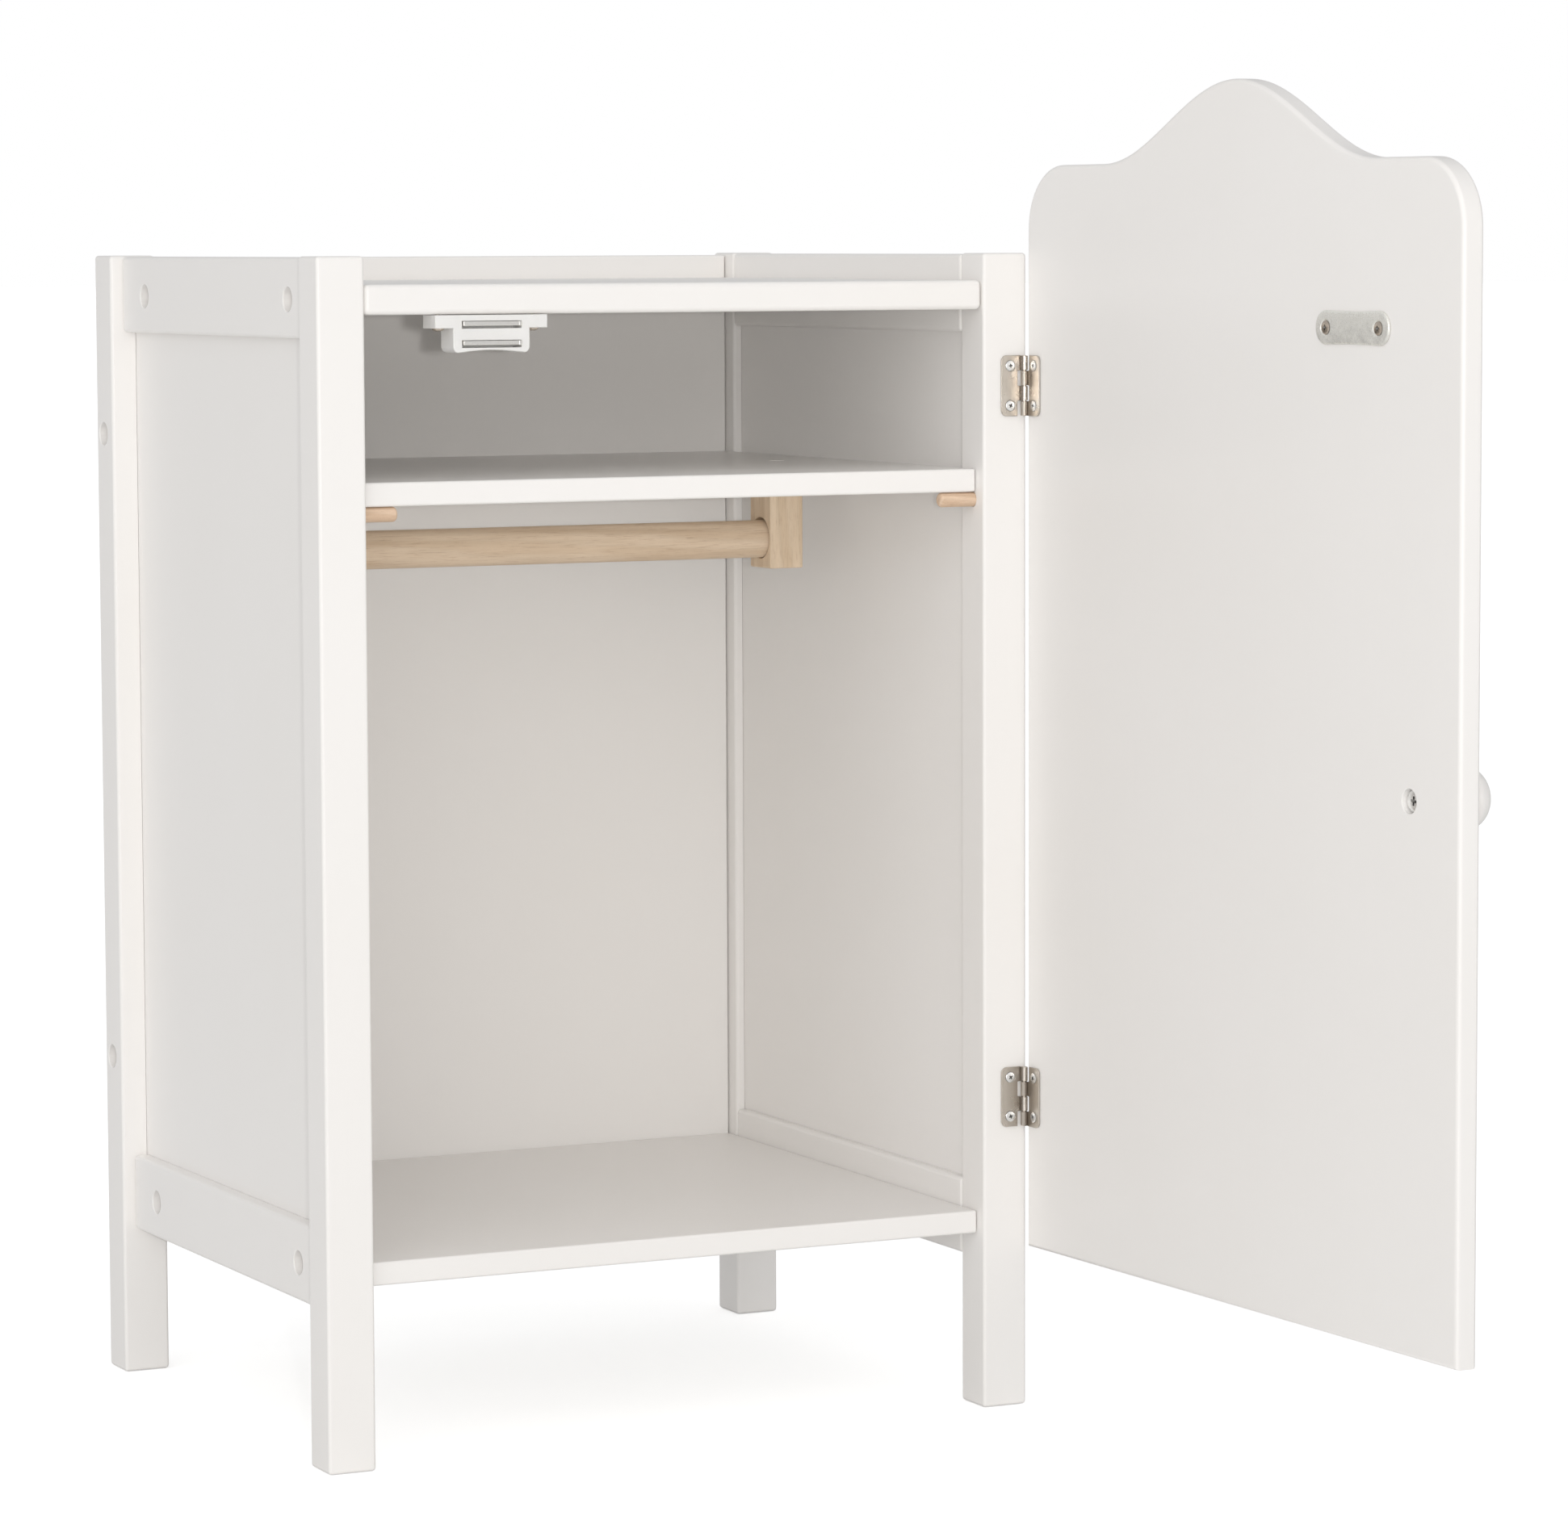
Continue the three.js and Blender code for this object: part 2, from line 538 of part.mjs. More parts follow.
// ---- Butt hinges ----------------------------------------------------------------------------
// Four barrel turns: the post's leaf holds the first and third from the top, the door's the rest.
function hingeLeaf(name, z, owner) {
  const { high, leafWide, leaf, barrel, bore: boreRadius } = HINGE;
  const onDoor = owner === 'door';
  const turn = high / 4;
  const sense = onDoor ? -1 : 1;
  const face = HINGE.gap / 2 - SEAT;       // from the pin axis to the leaf's fixed face
  const bottom = z - high / 2;
  const corner = 2.4;
  const clear = -(barrel + FIT);
  const shape = new THREE.Shape();
  shape.moveTo(clear, bottom);
  shape.lineTo(clear, bottom + high);
  shape.absarc(-leafWide + corner, bottom + high - corner, corner, Math.PI / 2, Math.PI);
  shape.absarc(-leafWide + corner, bottom + corner, corner, Math.PI, 1.5 * Math.PI);
  const plate = new THREE.ExtrudeGeometry(shape, {
    depth: leaf, bevelEnabled: false, curveSegments: 4,
  });
  const [y0, y1] = span(sense * (face - leaf), sense * face);
  plate.rotateX(Math.PI / 2).translate(0, y1, 0);
  let solid = solidOf(plate);
  for (const step of onDoor ? [0, 2] : [1, 3]) {
    const z0 = bottom + step * turn + FIT / 2;
    const z1 = z0 + turn - FIT;
    solid = solid.add(solidOf(bore('z', barrel, [0, 0, z0], [0, 0, z1], 12)));
    solid = solid.add(solidOf(block([clear - 0.5, y0, z0], [-boreRadius, y1, z1])));
  }
  const ends = [[0, 0, bottom - 1], [0, 0, bottom + high + 1]];
  solid = solid.subtract(solidOf(bore('z', boreRadius, ...ends, 10)));
  const holes = [-1, 1].flatMap((up) => screwHoles(HINGE_SCREWS,
    [-HINGE_SCREW.across, sense * (face - leaf), z + up * HINGE_SCREW.up], 'y', sense));
  return piece(name, NICKEL, [0, 0, 0], geometryOf(solid), holes);
}

function hingePin(name, z) {
  const { high, pin } = HINGE;
  const turned = new THREE.CylinderGeometry(pin, pin, high, 10).rotateX(Math.PI / 2);
  return piece(name, NICKEL, [HINGE_AXIS.x, HINGE_AXIS.y, z], turned);
}

// ---- Magnetic catch under the top board -----------------------------------------------------
const catchScrewXs = () => [-1, 1].map((way) => CATCH_X + way * CATCH_SCREW_SPACING / 2);
const catchScrewY = () => CATCH_FRONT + CATCH.deep / 2;

function catchBody() {
  const { wide, body, flange, high, deep } = CATCH;
  const smile = 2.2;               // how far the lower edge curves up in the middle
  const corner = 2.5;
  const shape = new THREE.Shape();
  shape.moveTo(-wide / 2, 0);
  shape.lineTo(-wide / 2, -flange);
  shape.lineTo(-body / 2, -flange);
  shape.lineTo(-body / 2, corner - high);
  shape.absarc(corner - body / 2, corner - high, corner, Math.PI, 1.5 * Math.PI);
  shape.quadraticCurveTo(0, 2 * smile - high, body / 2 - corner, -high);
  shape.absarc(body / 2 - corner, corner - high, corner, 1.5 * Math.PI, 2 * Math.PI);
  shape.lineTo(body / 2, -flange);
  shape.lineTo(wide / 2, -flange);
  shape.lineTo(wide / 2, 0);
  const housing = new THREE.ExtrudeGeometry(shape, {
    depth: deep, bevelEnabled: false, curveSegments: 5,
  });
  housing.rotateX(Math.PI / 2).translate(0, deep, 0);
  const at = [CATCH_X, CATCH_FRONT, TOP_BOARD_Z - SEAT];
  const cutters = POLE.drops.map((drop) => block(
    [CATCH_X - POLE.long / 2 - FIT, CATCH_FRONT - 1, at[2] - drop - POLE.high / 2 - FIT],
    [CATCH_X + POLE.long / 2 + FIT, CATCH_FRONT + POLE.deep, at[2] - drop + POLE.high / 2 + FIT],
  ));
  for (const x of catchScrewXs()) {
    cutters.push(...screwHoles(CATCH_SCREWS, [x, catchScrewY(), at[2] - flange], 'z', 1));
  }
  return piece('catch_body', WHITE_PLASTIC, at, housing, cutters);
}

function catchPoles() {
  return POLE.drops.map((drop, i) => {
    const z = TOP_BOARD_Z - SEAT - drop;
    const [y0, y1] = [CATCH_FRONT - POLE.proud, CATCH_FRONT + POLE.deep - FIT];
    return board(`catch_pole_${['upper', 'lower'][i]}`, STEEL,
      [CATCH_X - POLE.long / 2, y0, z - POLE.high / 2],
      [CATCH_X + POLE.long / 2, y1, z + POLE.high / 2], 0.4);
  });
}

// ---- Screws ---------------------------------------------------------------------------------
function carcassScrews() {
  const made = [];
  for (const side of SIDES) {
    const sense = inward(side);
    for (const level of ['top', 'bottom']) {
      RAIL_SCREW_Y.forEach((y, i) => {
        const x = across(side, RAIL_INSET + SINK.railDeep) + sense * FIT;
        made.push(screw(`screw_rail_${level}_${side}_${i + 1}`, ZINC, BOARD_SCREWS,
          [x, y, RAIL_SCREW_Z[level]], [sense, 0, 0]));
      });
    }
    BACK_SCREW_Z.forEach((z, i) => {
      const x = across(side, SINK.postDeep) + sense * FIT;
      made.push(screw(`screw_back_${side}_${i + 1}`, ZINC, BACK_SCREWS,
        [x, BACK_PANEL_Y + BACK_PANEL / 2, z], [sense, 0, 0]));
    });
  }
  return made;
}

function hingeScrews(owner) {
  const sense = owner === 'door' ? -1 : 1;
  const y = sense * (HINGE.gap / 2 - SEAT - HINGE.leaf);
  return hingeScrewPlaces().map(({ label, z }) => screw(`screw_hinge_${owner}_${label}`, ZINC,
    HINGE_SCREWS, [-HINGE_SCREW.across, y, z], [0, sense, 0]));
}

function catchScrews() {
  return catchScrewXs().map((x, i) => screw(`screw_catch_${i + 1}`, ZINC, CATCH_SCREWS,
    [x, catchScrewY(), TOP_BOARD_Z - SEAT - CATCH.flange], [0, 0, 1]));
}

function blockScrews() {
  return SIDES.map((side) => screw(`screw_block_${side}`, ZINC, BLOCK_SCREWS,
    [blockX(side), DEPTH / 2, BLOCK_SCREW_TOP], [0, 0, -1]));
}

function strikeScrews() {
  const y = DOOR_INNER_Y + SEAT + STRIKE.thick;
  return strikeScrewXs(DOOR_EDGE_X - CATCH.fromHinge).map((x, i) => screw(
    `screw_strike_${i + 1}`, ZINC, STRIKE_SCREWS, [x, y, strikeZ()], [0, -1, 0]));
}

function knobScrew() {
  const seat = KNOB_SINK.deep - KNOB_SCREW.cone - FIT;
  return screw('screw_knob', ZINC, KNOB_SCREW,
    [DOOR_EDGE_X - KNOB.fromHinge, DOOR_INNER_Y - seat, KNOB.z], [0, -1, 0]);
}

// ---- Assembly -------------------------------------------------------------------------------
const carcass = new THREE.Group();
carcass.add(...posts(), ...sideRails(), ...sidePanels());
carcass.add(backPanel(), topBoard(), baseBoard(), ...shelfPegs());
carcass.add(catchBody(), ...catchPoles(), ...carcassScrews(), ...catchScrews());

const shelfUnit = new THREE.Group();
shelfUnit.add(middleShelf(), railBlock('left'), railBlock('right'), clothesRail(), ...blockScrews());

const hingeFixed = new THREE.Group();
hingeFixed.position.set(HINGE_AXIS.x, HINGE_AXIS.y, 0);
const hingedDoor = new THREE.Group();
hingedDoor.position.copy(hingeFixed.position);
hingedDoor.rotation.z = DOOR_OPEN;
hingedDoor.add(doorSlab(), knob(), knobScrew(), strikePlate(), ...strikeScrews());
for (const [i, z] of HINGE_Z.entries()) {
  const level = ['lower', 'upper'][i];
  hingeFixed.add(hingeLeaf(`hinge_leaf_post_${level}`, z, 'post'));
  hingedDoor.add(hingeLeaf(`hinge_leaf_door_${level}`, z, 'door'));
  carcass.add(hingePin(`hinge_pin_${level}`, z));
}
hingeFixed.add(...hingeScrews('post'));
hingedDoor.add(...hingeScrews('door'));

const wardrobe = new THREE.Group();
wardrobe.add(carcass, shelfUnit, hingeFixed, hingedDoor);

// the origin is under the middle of the whole object, with the door standing open
wardrobe.updateMatrixWorld(true);
const extent = new THREE.Box3().setFromObject(wardrobe, true);
const middle = extent.getCenter(new THREE.Vector3());
wardrobe.position.set(-middle.x, -middle.y, -extent.min.z);

export default wardrobe;
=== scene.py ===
"""Looks of the miniature wardrobe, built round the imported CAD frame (Blender 4.5, metres).

Every visible piece is rebuilt finely where the CAD says it is. Shapes are drawn in millimetres in
one of three local frames: the carcass, the open door and the fixed half of the hinges.
"""
import json
import math
from collections import namedtuple

import bmesh
import bpy
from mathutils import Matrix, Vector


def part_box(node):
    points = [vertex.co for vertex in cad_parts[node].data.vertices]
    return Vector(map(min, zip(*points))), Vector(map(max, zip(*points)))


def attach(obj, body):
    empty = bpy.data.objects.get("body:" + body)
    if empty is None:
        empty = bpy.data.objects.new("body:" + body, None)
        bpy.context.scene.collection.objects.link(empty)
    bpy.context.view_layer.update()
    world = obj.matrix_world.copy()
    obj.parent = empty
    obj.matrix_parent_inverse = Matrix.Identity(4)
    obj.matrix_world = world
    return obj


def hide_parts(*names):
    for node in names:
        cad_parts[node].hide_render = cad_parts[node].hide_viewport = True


MM = 0.001
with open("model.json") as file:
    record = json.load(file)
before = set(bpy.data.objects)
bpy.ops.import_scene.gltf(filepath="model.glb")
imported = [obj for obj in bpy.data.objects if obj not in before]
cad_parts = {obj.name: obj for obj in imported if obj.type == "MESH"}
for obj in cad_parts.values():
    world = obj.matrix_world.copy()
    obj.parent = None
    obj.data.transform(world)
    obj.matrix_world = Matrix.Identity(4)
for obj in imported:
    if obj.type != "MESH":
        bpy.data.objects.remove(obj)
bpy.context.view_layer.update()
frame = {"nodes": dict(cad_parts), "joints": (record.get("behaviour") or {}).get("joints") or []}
NODES, JOINTS = frame["nodes"], {j["name"]: j for j in frame["joints"]}
LEFT, RIGHT = "left", "right"

# ---- Local frames ---------------------------------------------------------------------------
CARCASS = Matrix.Translation(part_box("post_front_left")[0])
pin_low, pin_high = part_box("hinge_pin_lower")
PIN = Vector(((pin_low.x + pin_high.x) / 2, (pin_low.y + pin_high.y) / 2, 0))
HINGE = Matrix.Translation(PIN)
DOOR = HINGE @ Matrix.Rotation(math.radians(-JOINTS["door_swing"]["range_deg"][0]), 4, "Z")


def extent(node, place=CARCASS):
    """Lowest and highest corner of a CAD node in a local frame, in millimetres."""
    inverse = place.inverted()
    points = [(inverse @ v.co) / MM for v in NODES[node].data.vertices]
    return (Vector(map(min, *points)), Vector(map(max, *points)))


def middle(node, place=CARCASS):
    low, high = extent(node, place)
    return (low + high) / 2


# ---- Materials ------------------------------------------------------------------------------
class Shader:
    """A Principled material and a few short ways to add nodes to it."""

    def __init__(self, name, **sockets):
        self.material = bpy.data.materials.new(name)
        self.material.use_nodes = True
        self.tree = self.material.node_tree
        self.bsdf = next(n for n in self.tree.nodes if n.type == "BSDF_PRINCIPLED")
        for key, value in sockets.items():
            self.bsdf.inputs[key.replace("_", " ")].default_value = value
        self.coords = self.add("ShaderNodeTexCoord").outputs["Object"]

    def add(self, kind, **properties):
        node = self.tree.nodes.new(kind)
        for key, value in properties.items():
            setattr(node, key, value)
        return node

    def link(self, source, target):
        self.tree.links.new(source, target)

    def stretched(self, scale):
        node = self.add("ShaderNodeMapping")
        self.link(self.coords, node.inputs["Vector"])
        node.inputs["Scale"].default_value = scale
        return node.outputs["Vector"]

    def noise(self, scale, detail=2.0, rough=0.5, vector=None, distortion=0.0):
        node = self.add("ShaderNodeTexNoise")
        self.link(vector or self.coords, node.inputs["Vector"])
        node.inputs["Scale"].default_value = scale
        node.inputs["Detail"].default_value = detail
        node.inputs["Roughness"].default_value = rough
        node.inputs["Distortion"].default_value = distortion
        return node.outputs["Fac"]

    def waves(self, scale, distortion, detail, vector, direction, detail_scale):
        node = self.add("ShaderNodeTexWave", wave_type="BANDS", bands_direction=direction)
        self.link(vector, node.inputs["Vector"])
        node.inputs["Scale"].default_value = scale
        node.inputs["Distortion"].default_value = distortion
        node.inputs["Detail"].default_value = detail
        node.inputs["Detail Scale"].default_value = detail_scale
        return node.outputs["Fac"]

    def ramp(self, fac, *stops):
        node = self.add("ShaderNodeValToRGB")
        self.link(fac, node.inputs["Fac"])
        elements = node.color_ramp.elements
        while len(elements) < len(stops):
            elements.new(0.5)
        for element, (place, colour) in zip(elements, stops):
            element.position = place
            element.color = (*colour, 1.0)
        return node.outputs["Color"]

    def spread(self, fac, low, high, start=0.3, end=0.7):
        node = self.add("ShaderNodeMapRange")
        self.link(fac, node.inputs["Value"])
        for key, value in zip(("From Min", "From Max", "To Min", "To Max"),
                              (start, end, low, high)):
            node.inputs[key].default_value = value
        return node.outputs["Result"]

    def mix(self, fac, a, b, blend="MIX"):
        node = self.add("ShaderNodeMix", data_type="RGBA", blend_type=blend)
        for value, socket in ((fac, node.inputs[0]), (a, node.inputs[6]), (b, node.inputs[7])):
            if isinstance(value, (int, float)):
                socket.default_value = value
            elif isinstance(value, tuple):
                socket.default_value = (*value, 1.0)
            else:
                self.link(value, socket)
        return node.outputs[2]

    def bump(self, height, distance, strength, onto=None):
        node = self.add("ShaderNodeBump")
        self.link(height, node.inputs["Height"])
        node.inputs["Distance"].default_value = distance
        node.inputs["Strength"].default_value = strength
        if onto is not None:
            self.link(onto, node.inputs["Normal"])
        return node.outputs["Normal"]

    def finish(self, colour=None, roughness=None, normal=None):
        for source, key in ((colour, "Base Color"), (roughness, "Roughness"), (normal, "Normal")):
            if source is not None:
                self.link(source, self.bsdf.inputs[key])
        return self.material


def paint(name, tone, streaks):
    """Satin white paint: a faintly cloudy tone, fine brush streaks and an orange-peel surface."""
    s = Shader(name, Specular_IOR_Level=0.28)
    dark = tuple(c * k for c, k in zip(tone, (0.986, 0.984, 0.978)))
    colour = s.ramp(s.noise(7, 3, 0.55), (0.3, dark), (0.7, tone))
    brushed = s.noise(1.0, 4, 0.6, s.stretched(streaks))
    colour = s.mix(s.spread(brushed, 0.0, 0.12, 0.55, 0.75), colour,
                   tuple(c * 0.95 for c in tone))
    roughness = s.spread(s.noise(18, 2, 0.5), 0.26, 0.34, 0.0, 1.0)
    peel = s.bump(s.noise(520, 2, 0.5), 0.00002, 0.22)
    normal = s.bump(brushed, 0.00002, 0.2, peel)
    return s.finish(colour, roughness, normal)


def bare_wood(name, light, dark, grain, across):
    """Fine-grained sanded wood. grain stretches the pattern along the piece."""
    s = Shader(name, Specular_IOR_Level=0.35)
    along = s.stretched(grain)
    bands = s.waves(across, 5.5, 3.0, along, "DIAGONAL", 1.4)
    fibre = s.noise(10, 6, 0.65, along, 0.3)
    pores = s.noise(52, 3, 0.7, along)
    colour = s.ramp(bands, (0.15, dark), (0.55, light), (0.95, tuple(c * 1.05 for c in light)))
    shade = s.ramp(fibre, (0.3, (0.80, 0.76, 0.70)), (0.62, (1.0, 1.0, 1.0)))
    colour = s.mix(0.5, colour, shade, "MULTIPLY")
    flecks = s.ramp(pores, (0.34, (0.66, 0.55, 0.47)), (0.46, (1.0, 1.0, 1.0)))
    colour = s.mix(0.42, colour, flecks, "MULTIPLY")
    cloud = s.ramp(s.noise(30, 2), (0.3, (0.94, 0.92, 0.90)), (0.7, (1.0, 1.0, 1.0)))
    colour = s.mix(1.0, colour, cloud, "MULTIPLY")
    roughness = s.spread(fibre, 0.48, 0.66)
    normal = s.bump(fibre, 0.00006, 0.6, s.bump(pores, 0.00004, 0.5))
    return s.finish(colour, roughness, normal)


def plated(name, tone, tarnish_and_shade, rough, streak, marks=0.15):
    """Plated steel with fine rolling streaks, a faint cloudy film and small dull marks."""
    s = Shader(name, Metallic=1.0)
    film = s.noise(110, 3, 0.55)
    colour = s.ramp(film, (0.3, tarnish_and_shade), (0.7, tone))
    specks = s.ramp(s.noise(1400, 3, 0.7), (0.34, (0.5, 0.48, 0.46)), (0.44, (1.0, 1.0, 1.0)))
    colour = s.mix(marks, colour, specks, "MULTIPLY")
    lines = s.noise(1.0, 3, 0.6, s.stretched(streak))
    roughness = s.spread(film, rough + 0.05, rough - 0.03)
    normal = s.bump(lines, 0.00001, 0.4)
    return s.finish(colour, roughness, normal)


def brushed_nickel(name, tone, tarnish_and_shade, streak):
    """Satin nickel on a hinge, with painted shade that makes it browner towards the barrel and a
    painted highlight that makes the barrel itself lighter.
    """
    s = Shader(name, Metallic=1.0)
    split = s.add("ShaderNodeSeparateXYZ")
    s.link(s.coords, split.inputs[0])
    away = s.add("ShaderNodeMath", operation="ABSOLUTE")
    s.link(split.outputs["X"], away.inputs[0])
    # painted shade: the plate darkens to its shade colour towards the barrel, where shade falls
    unshaded_share = s.spread(away.outputs[0], 0.0, 1.0, 0.0016, 0.0085)
    painted_light_tone = s.mix(unshaded_share, tarnish_and_shade, tone)
    # painted highlight: a lighter copy of the plate along the barrel
    barrel = s.spread(away.outputs[0], 1.0, 0.0, 0.0007, 0.0013)
    painted_light_tone = s.mix(barrel, painted_light_tone, tuple(min(c * 1.18, 0.95) for c in tone))
    film = s.ramp(s.noise(120, 3, 0.55), (0.3, (0.93, 0.92, 0.90)), (0.7, (1.0, 1.0, 1.0)))
    colour = s.mix(1.0, painted_light_tone, film, "MULTIPLY")
    lines = s.noise(1.0, 3, 0.6, s.stretched(streak))
    roughness = s.spread(s.noise(160, 2), 0.26, 0.32)
    return s.finish(colour, roughness, s.bump(lines, 0.00001, 0.4))


def galvanised(name, tone, shade):
    """Bright pressed plate with a mottled grey that is heavier towards its lower edge."""
    s = Shader(name, Metallic=0.55)
    split = s.add("ShaderNodeSeparateXYZ")
    s.link(s.coords, split.inputs[0])
    low, high = (corner.z * MM for corner in extent("strike_plate", DOOR))
    down = s.spread(split.outputs["Z"], 0.75, 0.0, low, high)
    grey_mottle = s.add("ShaderNodeMath", operation="MULTIPLY")
    s.link(s.spread(s.noise(260, 5, 0.72), 0.0, 1.0, 0.36, 0.66), grey_mottle.inputs[0])
    s.link(down, grey_mottle.inputs[1])
    colour = s.mix(grey_mottle.outputs[0], tone, shade)
    grit = s.ramp(s.noise(2600, 3, 0.7), (0.36, (0.78, 0.77, 0.74)), (0.52, (1.0, 1.0, 1.0)))
    colour = s.mix(0.8, colour, grit, "MULTIPLY")
    roughness = s.spread(s.noise(400, 3), 0.28, 0.42)
    return s.finish(colour, roughness, s.bump(s.noise(1500, 3), 0.00001, 0.5))


def plastic():
    s = Shader("moulded_white_plastic", Specular_IOR_Level=0.5, Subsurface_Weight=0.06,
               Subsurface_Radius=(0.002, 0.002, 0.0016))
    colour = s.ramp(s.noise(90, 3), (0.3, (0.82, 0.81, 0.79)), (0.7, (0.86, 0.85, 0.83)))
    roughness = s.spread(s.noise(500, 2), 0.30, 0.42)
    return s.finish(colour, roughness, s.bump(s.noise(2600, 2), 0.00002, 0.3))


WHITE = (0.925, 0.903, 0.880)
FINISH = {
    "upright": paint("satin_paint_upright", WHITE, (900, 900, 14)),
    "level": paint("satin_paint_level", WHITE, (14, 900, 900)),
    "deep": paint("satin_paint_deep", WHITE, (900, 14, 900)),
    "turned": paint("satin_paint_turned", WHITE, (300, 14, 300)),
    "rod": bare_wood("bare_wood_rod", (0.815, 0.66, 0.50), (0.775, 0.61, 0.445),
                     (2.2, 42, 42), 1.6),
    "block": bare_wood("bare_wood_block", (0.83, 0.675, 0.505), (0.79, 0.625, 0.45),
                       (46, 46, 2.6), 1.5),
    "peg": bare_wood("bare_wood_peg", (0.80, 0.61, 0.455), (0.745, 0.545, 0.39),
                     (7, 90, 90), 2.2),
    # the second colour is the painted shade towards the hinge barrel
    "nickel": brushed_nickel("warm_nickel_plate", (0.62, 0.575, 0.52), (0.36, 0.32, 0.28),
                             (220, 220, 5200)),
    "zinc": plated("zinc_plate", (0.93, 0.935, 0.93), (0.84, 0.845, 0.84), 0.24,
                   (1800, 1800, 600)),
    # painted shade: a dark plate for the walls and floor of a screw's cross
    "recess": plated("painted_shade_cross_recess", (0.30, 0.29, 0.275), (0.20, 0.195, 0.185), 0.45,
                     (1800, 1800, 600), 0.3),
    "bronze": plated("yellowed_zinc_plate", (0.74, 0.66, 0.57), (0.58, 0.50, 0.42), 0.2,
                     (1800, 1800, 600)),
    "strike": galvanised("pressed_zinc_plate", (0.96, 0.95, 0.90), (0.60, 0.59, 0.56)),
    "steel": plated("pole_steel", (0.93, 0.915, 0.885), (0.84, 0.82, 0.78), 0.34,
                    (400, 400, 5000)),
    "plastic": plastic(),
}


# ---- Mesh helpers ---------------------------------------------------------------------------
TINY = 1e-6                         # lengths under this count as none
WELD = 1e-4                         # corners closer than this are one
CLEAR = 1.0                         # how far a cutter stands out of the face it cuts
SCREW_HOLE = 14.0                   # depth of a screw's hole below the floor of its sinking
SCREW_BORE = 1.2                    # radius of the holes for the small screws


def round_edges(bm, edges, radius, segments):
    bmesh.ops.bevel(bm, geom=edges, offset=radius, segments=segments, profile=0.5,
                    affect="EDGES", clamp_overlap=True)


def rounded_box(low, high, radius=0.0, segments=4):
    """A box between two corners, with all its edges rounded."""
    size, centre = Vector(high) - Vector(low), (Vector(high) + Vector(low)) / 2
    bm = bmesh.new()
    bmesh.ops.create_cube(bm, size=1.0)
    for v in bm.verts:
        v.co = centre + Vector(a * b for a, b in zip(v.co, size))
    if radius:
        round_edges(bm, bm.edges[:], radius, segments)
    return bm


def lathe(profile, steps):
    """A turned body about the local Z axis, from (radius, height) pairs."""
    bm = bmesh.new()
    rings = []
    for radius, height in profile:
        count = steps if radius > TINY else 1
        turn = 2 * math.pi / count
        rings.append([bm.verts.new((radius * math.cos(i * turn), radius * math.sin(i * turn),
                                    height)) for i in range(count)])
    for a, b in zip(rings, rings[1:]):
        for i in range(steps):
            j = i + 1
            corners = [a[i % len(a)], a[j % len(a)], b[j % len(b)], b[i % len(b)]]
            bm.faces.new(list(dict.fromkeys(corners)))
    bmesh.ops.recalc_face_normals(bm, faces=bm.faces[:])
    return bm


def aim(bm, direction, at):
    """Turns a body from the local Z axis to a direction and moves it to a place."""
    turn = Vector((0, 0, 1)).rotation_difference(Vector(direction)).to_matrix().to_4x4()
    bm.transform(Matrix.Translation(Vector(at)) @ turn)
    return bm


def arc(cx, cy, radius, start, end, steps):
    """Points on an arc, with angles in degrees."""
    angles = [math.radians(start + (end - start) * i / steps) for i in range(steps + 1)]
    return [(cx + radius * math.cos(a), cy + radius * math.sin(a)) for a in angles]


def bowed(x0, x1, z, rise, steps):
    """Points between the ends of a level line that bows by rise in its middle."""
    shares = [i / steps for i in range(1, steps)]
    return [(x0 + (x1 - x0) * share, z + 4 * rise * share * (1 - share)) for share in shares]


def slab(outline, y0, y1, radius=0.0, segments=3):
    """An outline in X and Z made solid from y0 to y1, with its rims rounded."""
    bm = bmesh.new()
    front = [bm.verts.new((x, y0, z)) for x, z in outline]
    back = [bm.verts.new((x, y1, z)) for x, z in outline]
    bm.faces.new(front)
    bm.faces.new(back[::-1])
    for i in range(len(outline)):
        j = (i + 1) % len(outline)
        bm.faces.new((front[j], front[i], back[i], back[j]))
    bmesh.ops.recalc_face_normals(bm, faces=bm.faces[:])
    if radius:
        rims = [e for e in bm.edges if abs(e.verts[0].co.y - e.verts[1].co.y) < TINY]
        round_edges(bm, rims, radius, segments)
    return bm


def scratch(bm):
    """A throwaway object, for a boolean to work on."""
    mesh = bpy.data.meshes.new("scratch")
    bm.to_mesh(mesh)
    bm.free()
    made = bpy.data.objects.new("scratch", mesh)
    bpy.context.scene.collection.objects.link(made)
    return made


def combine(bm, others, operation="DIFFERENCE"):
    """bm cut by, or joined with, each of the other bodies."""
    body = scratch(bm)
    tools = [scratch(other) for other in others]
    for tool in tools:
        step = body.modifiers.new("step", "BOOLEAN")
        step.operation, step.object, step.solver = operation, tool, "EXACT"
    graph = bpy.context.evaluated_depsgraph_get()
    mesh = bpy.data.meshes.new_from_object(body.evaluated_get(graph))
    made = bmesh.new()
    made.from_mesh(mesh)
    for old in (body, *tools):
        bpy.data.meshes.remove(old.data)
    bpy.data.meshes.remove(mesh)
    return made


def sinking(radius, deep, direction, at, shank=0.0, lip=0.5):
    """A cutter for a round sinking with a softened rim, and a screw's hole in its floor."""
    rim = [(radius + lip - x, y) for x, y in arc(0, -lip, lip, 90, 0, 4)]
    profile = [(0, CLEAR), (rim[0][0], CLEAR), *rim, (radius, -deep)]
    if shank:
        profile += [(shank, -deep), (shank, -deep - SCREW_HOLE)]
    profile.append((0, profile[-1][1]))
    return aim(lathe(profile, 40), -Vector(direction), at)


def countersink(funnel, deep, direction, at):
    """A cutter for a small screw: (radius, depth) pairs for its head, then its bore."""
    profile = [(0, -CLEAR), (funnel[0][0], -CLEAR), *funnel, (SCREW_BORE, deep), (0, deep)]
    return aim(lathe(profile, 36), direction, at)


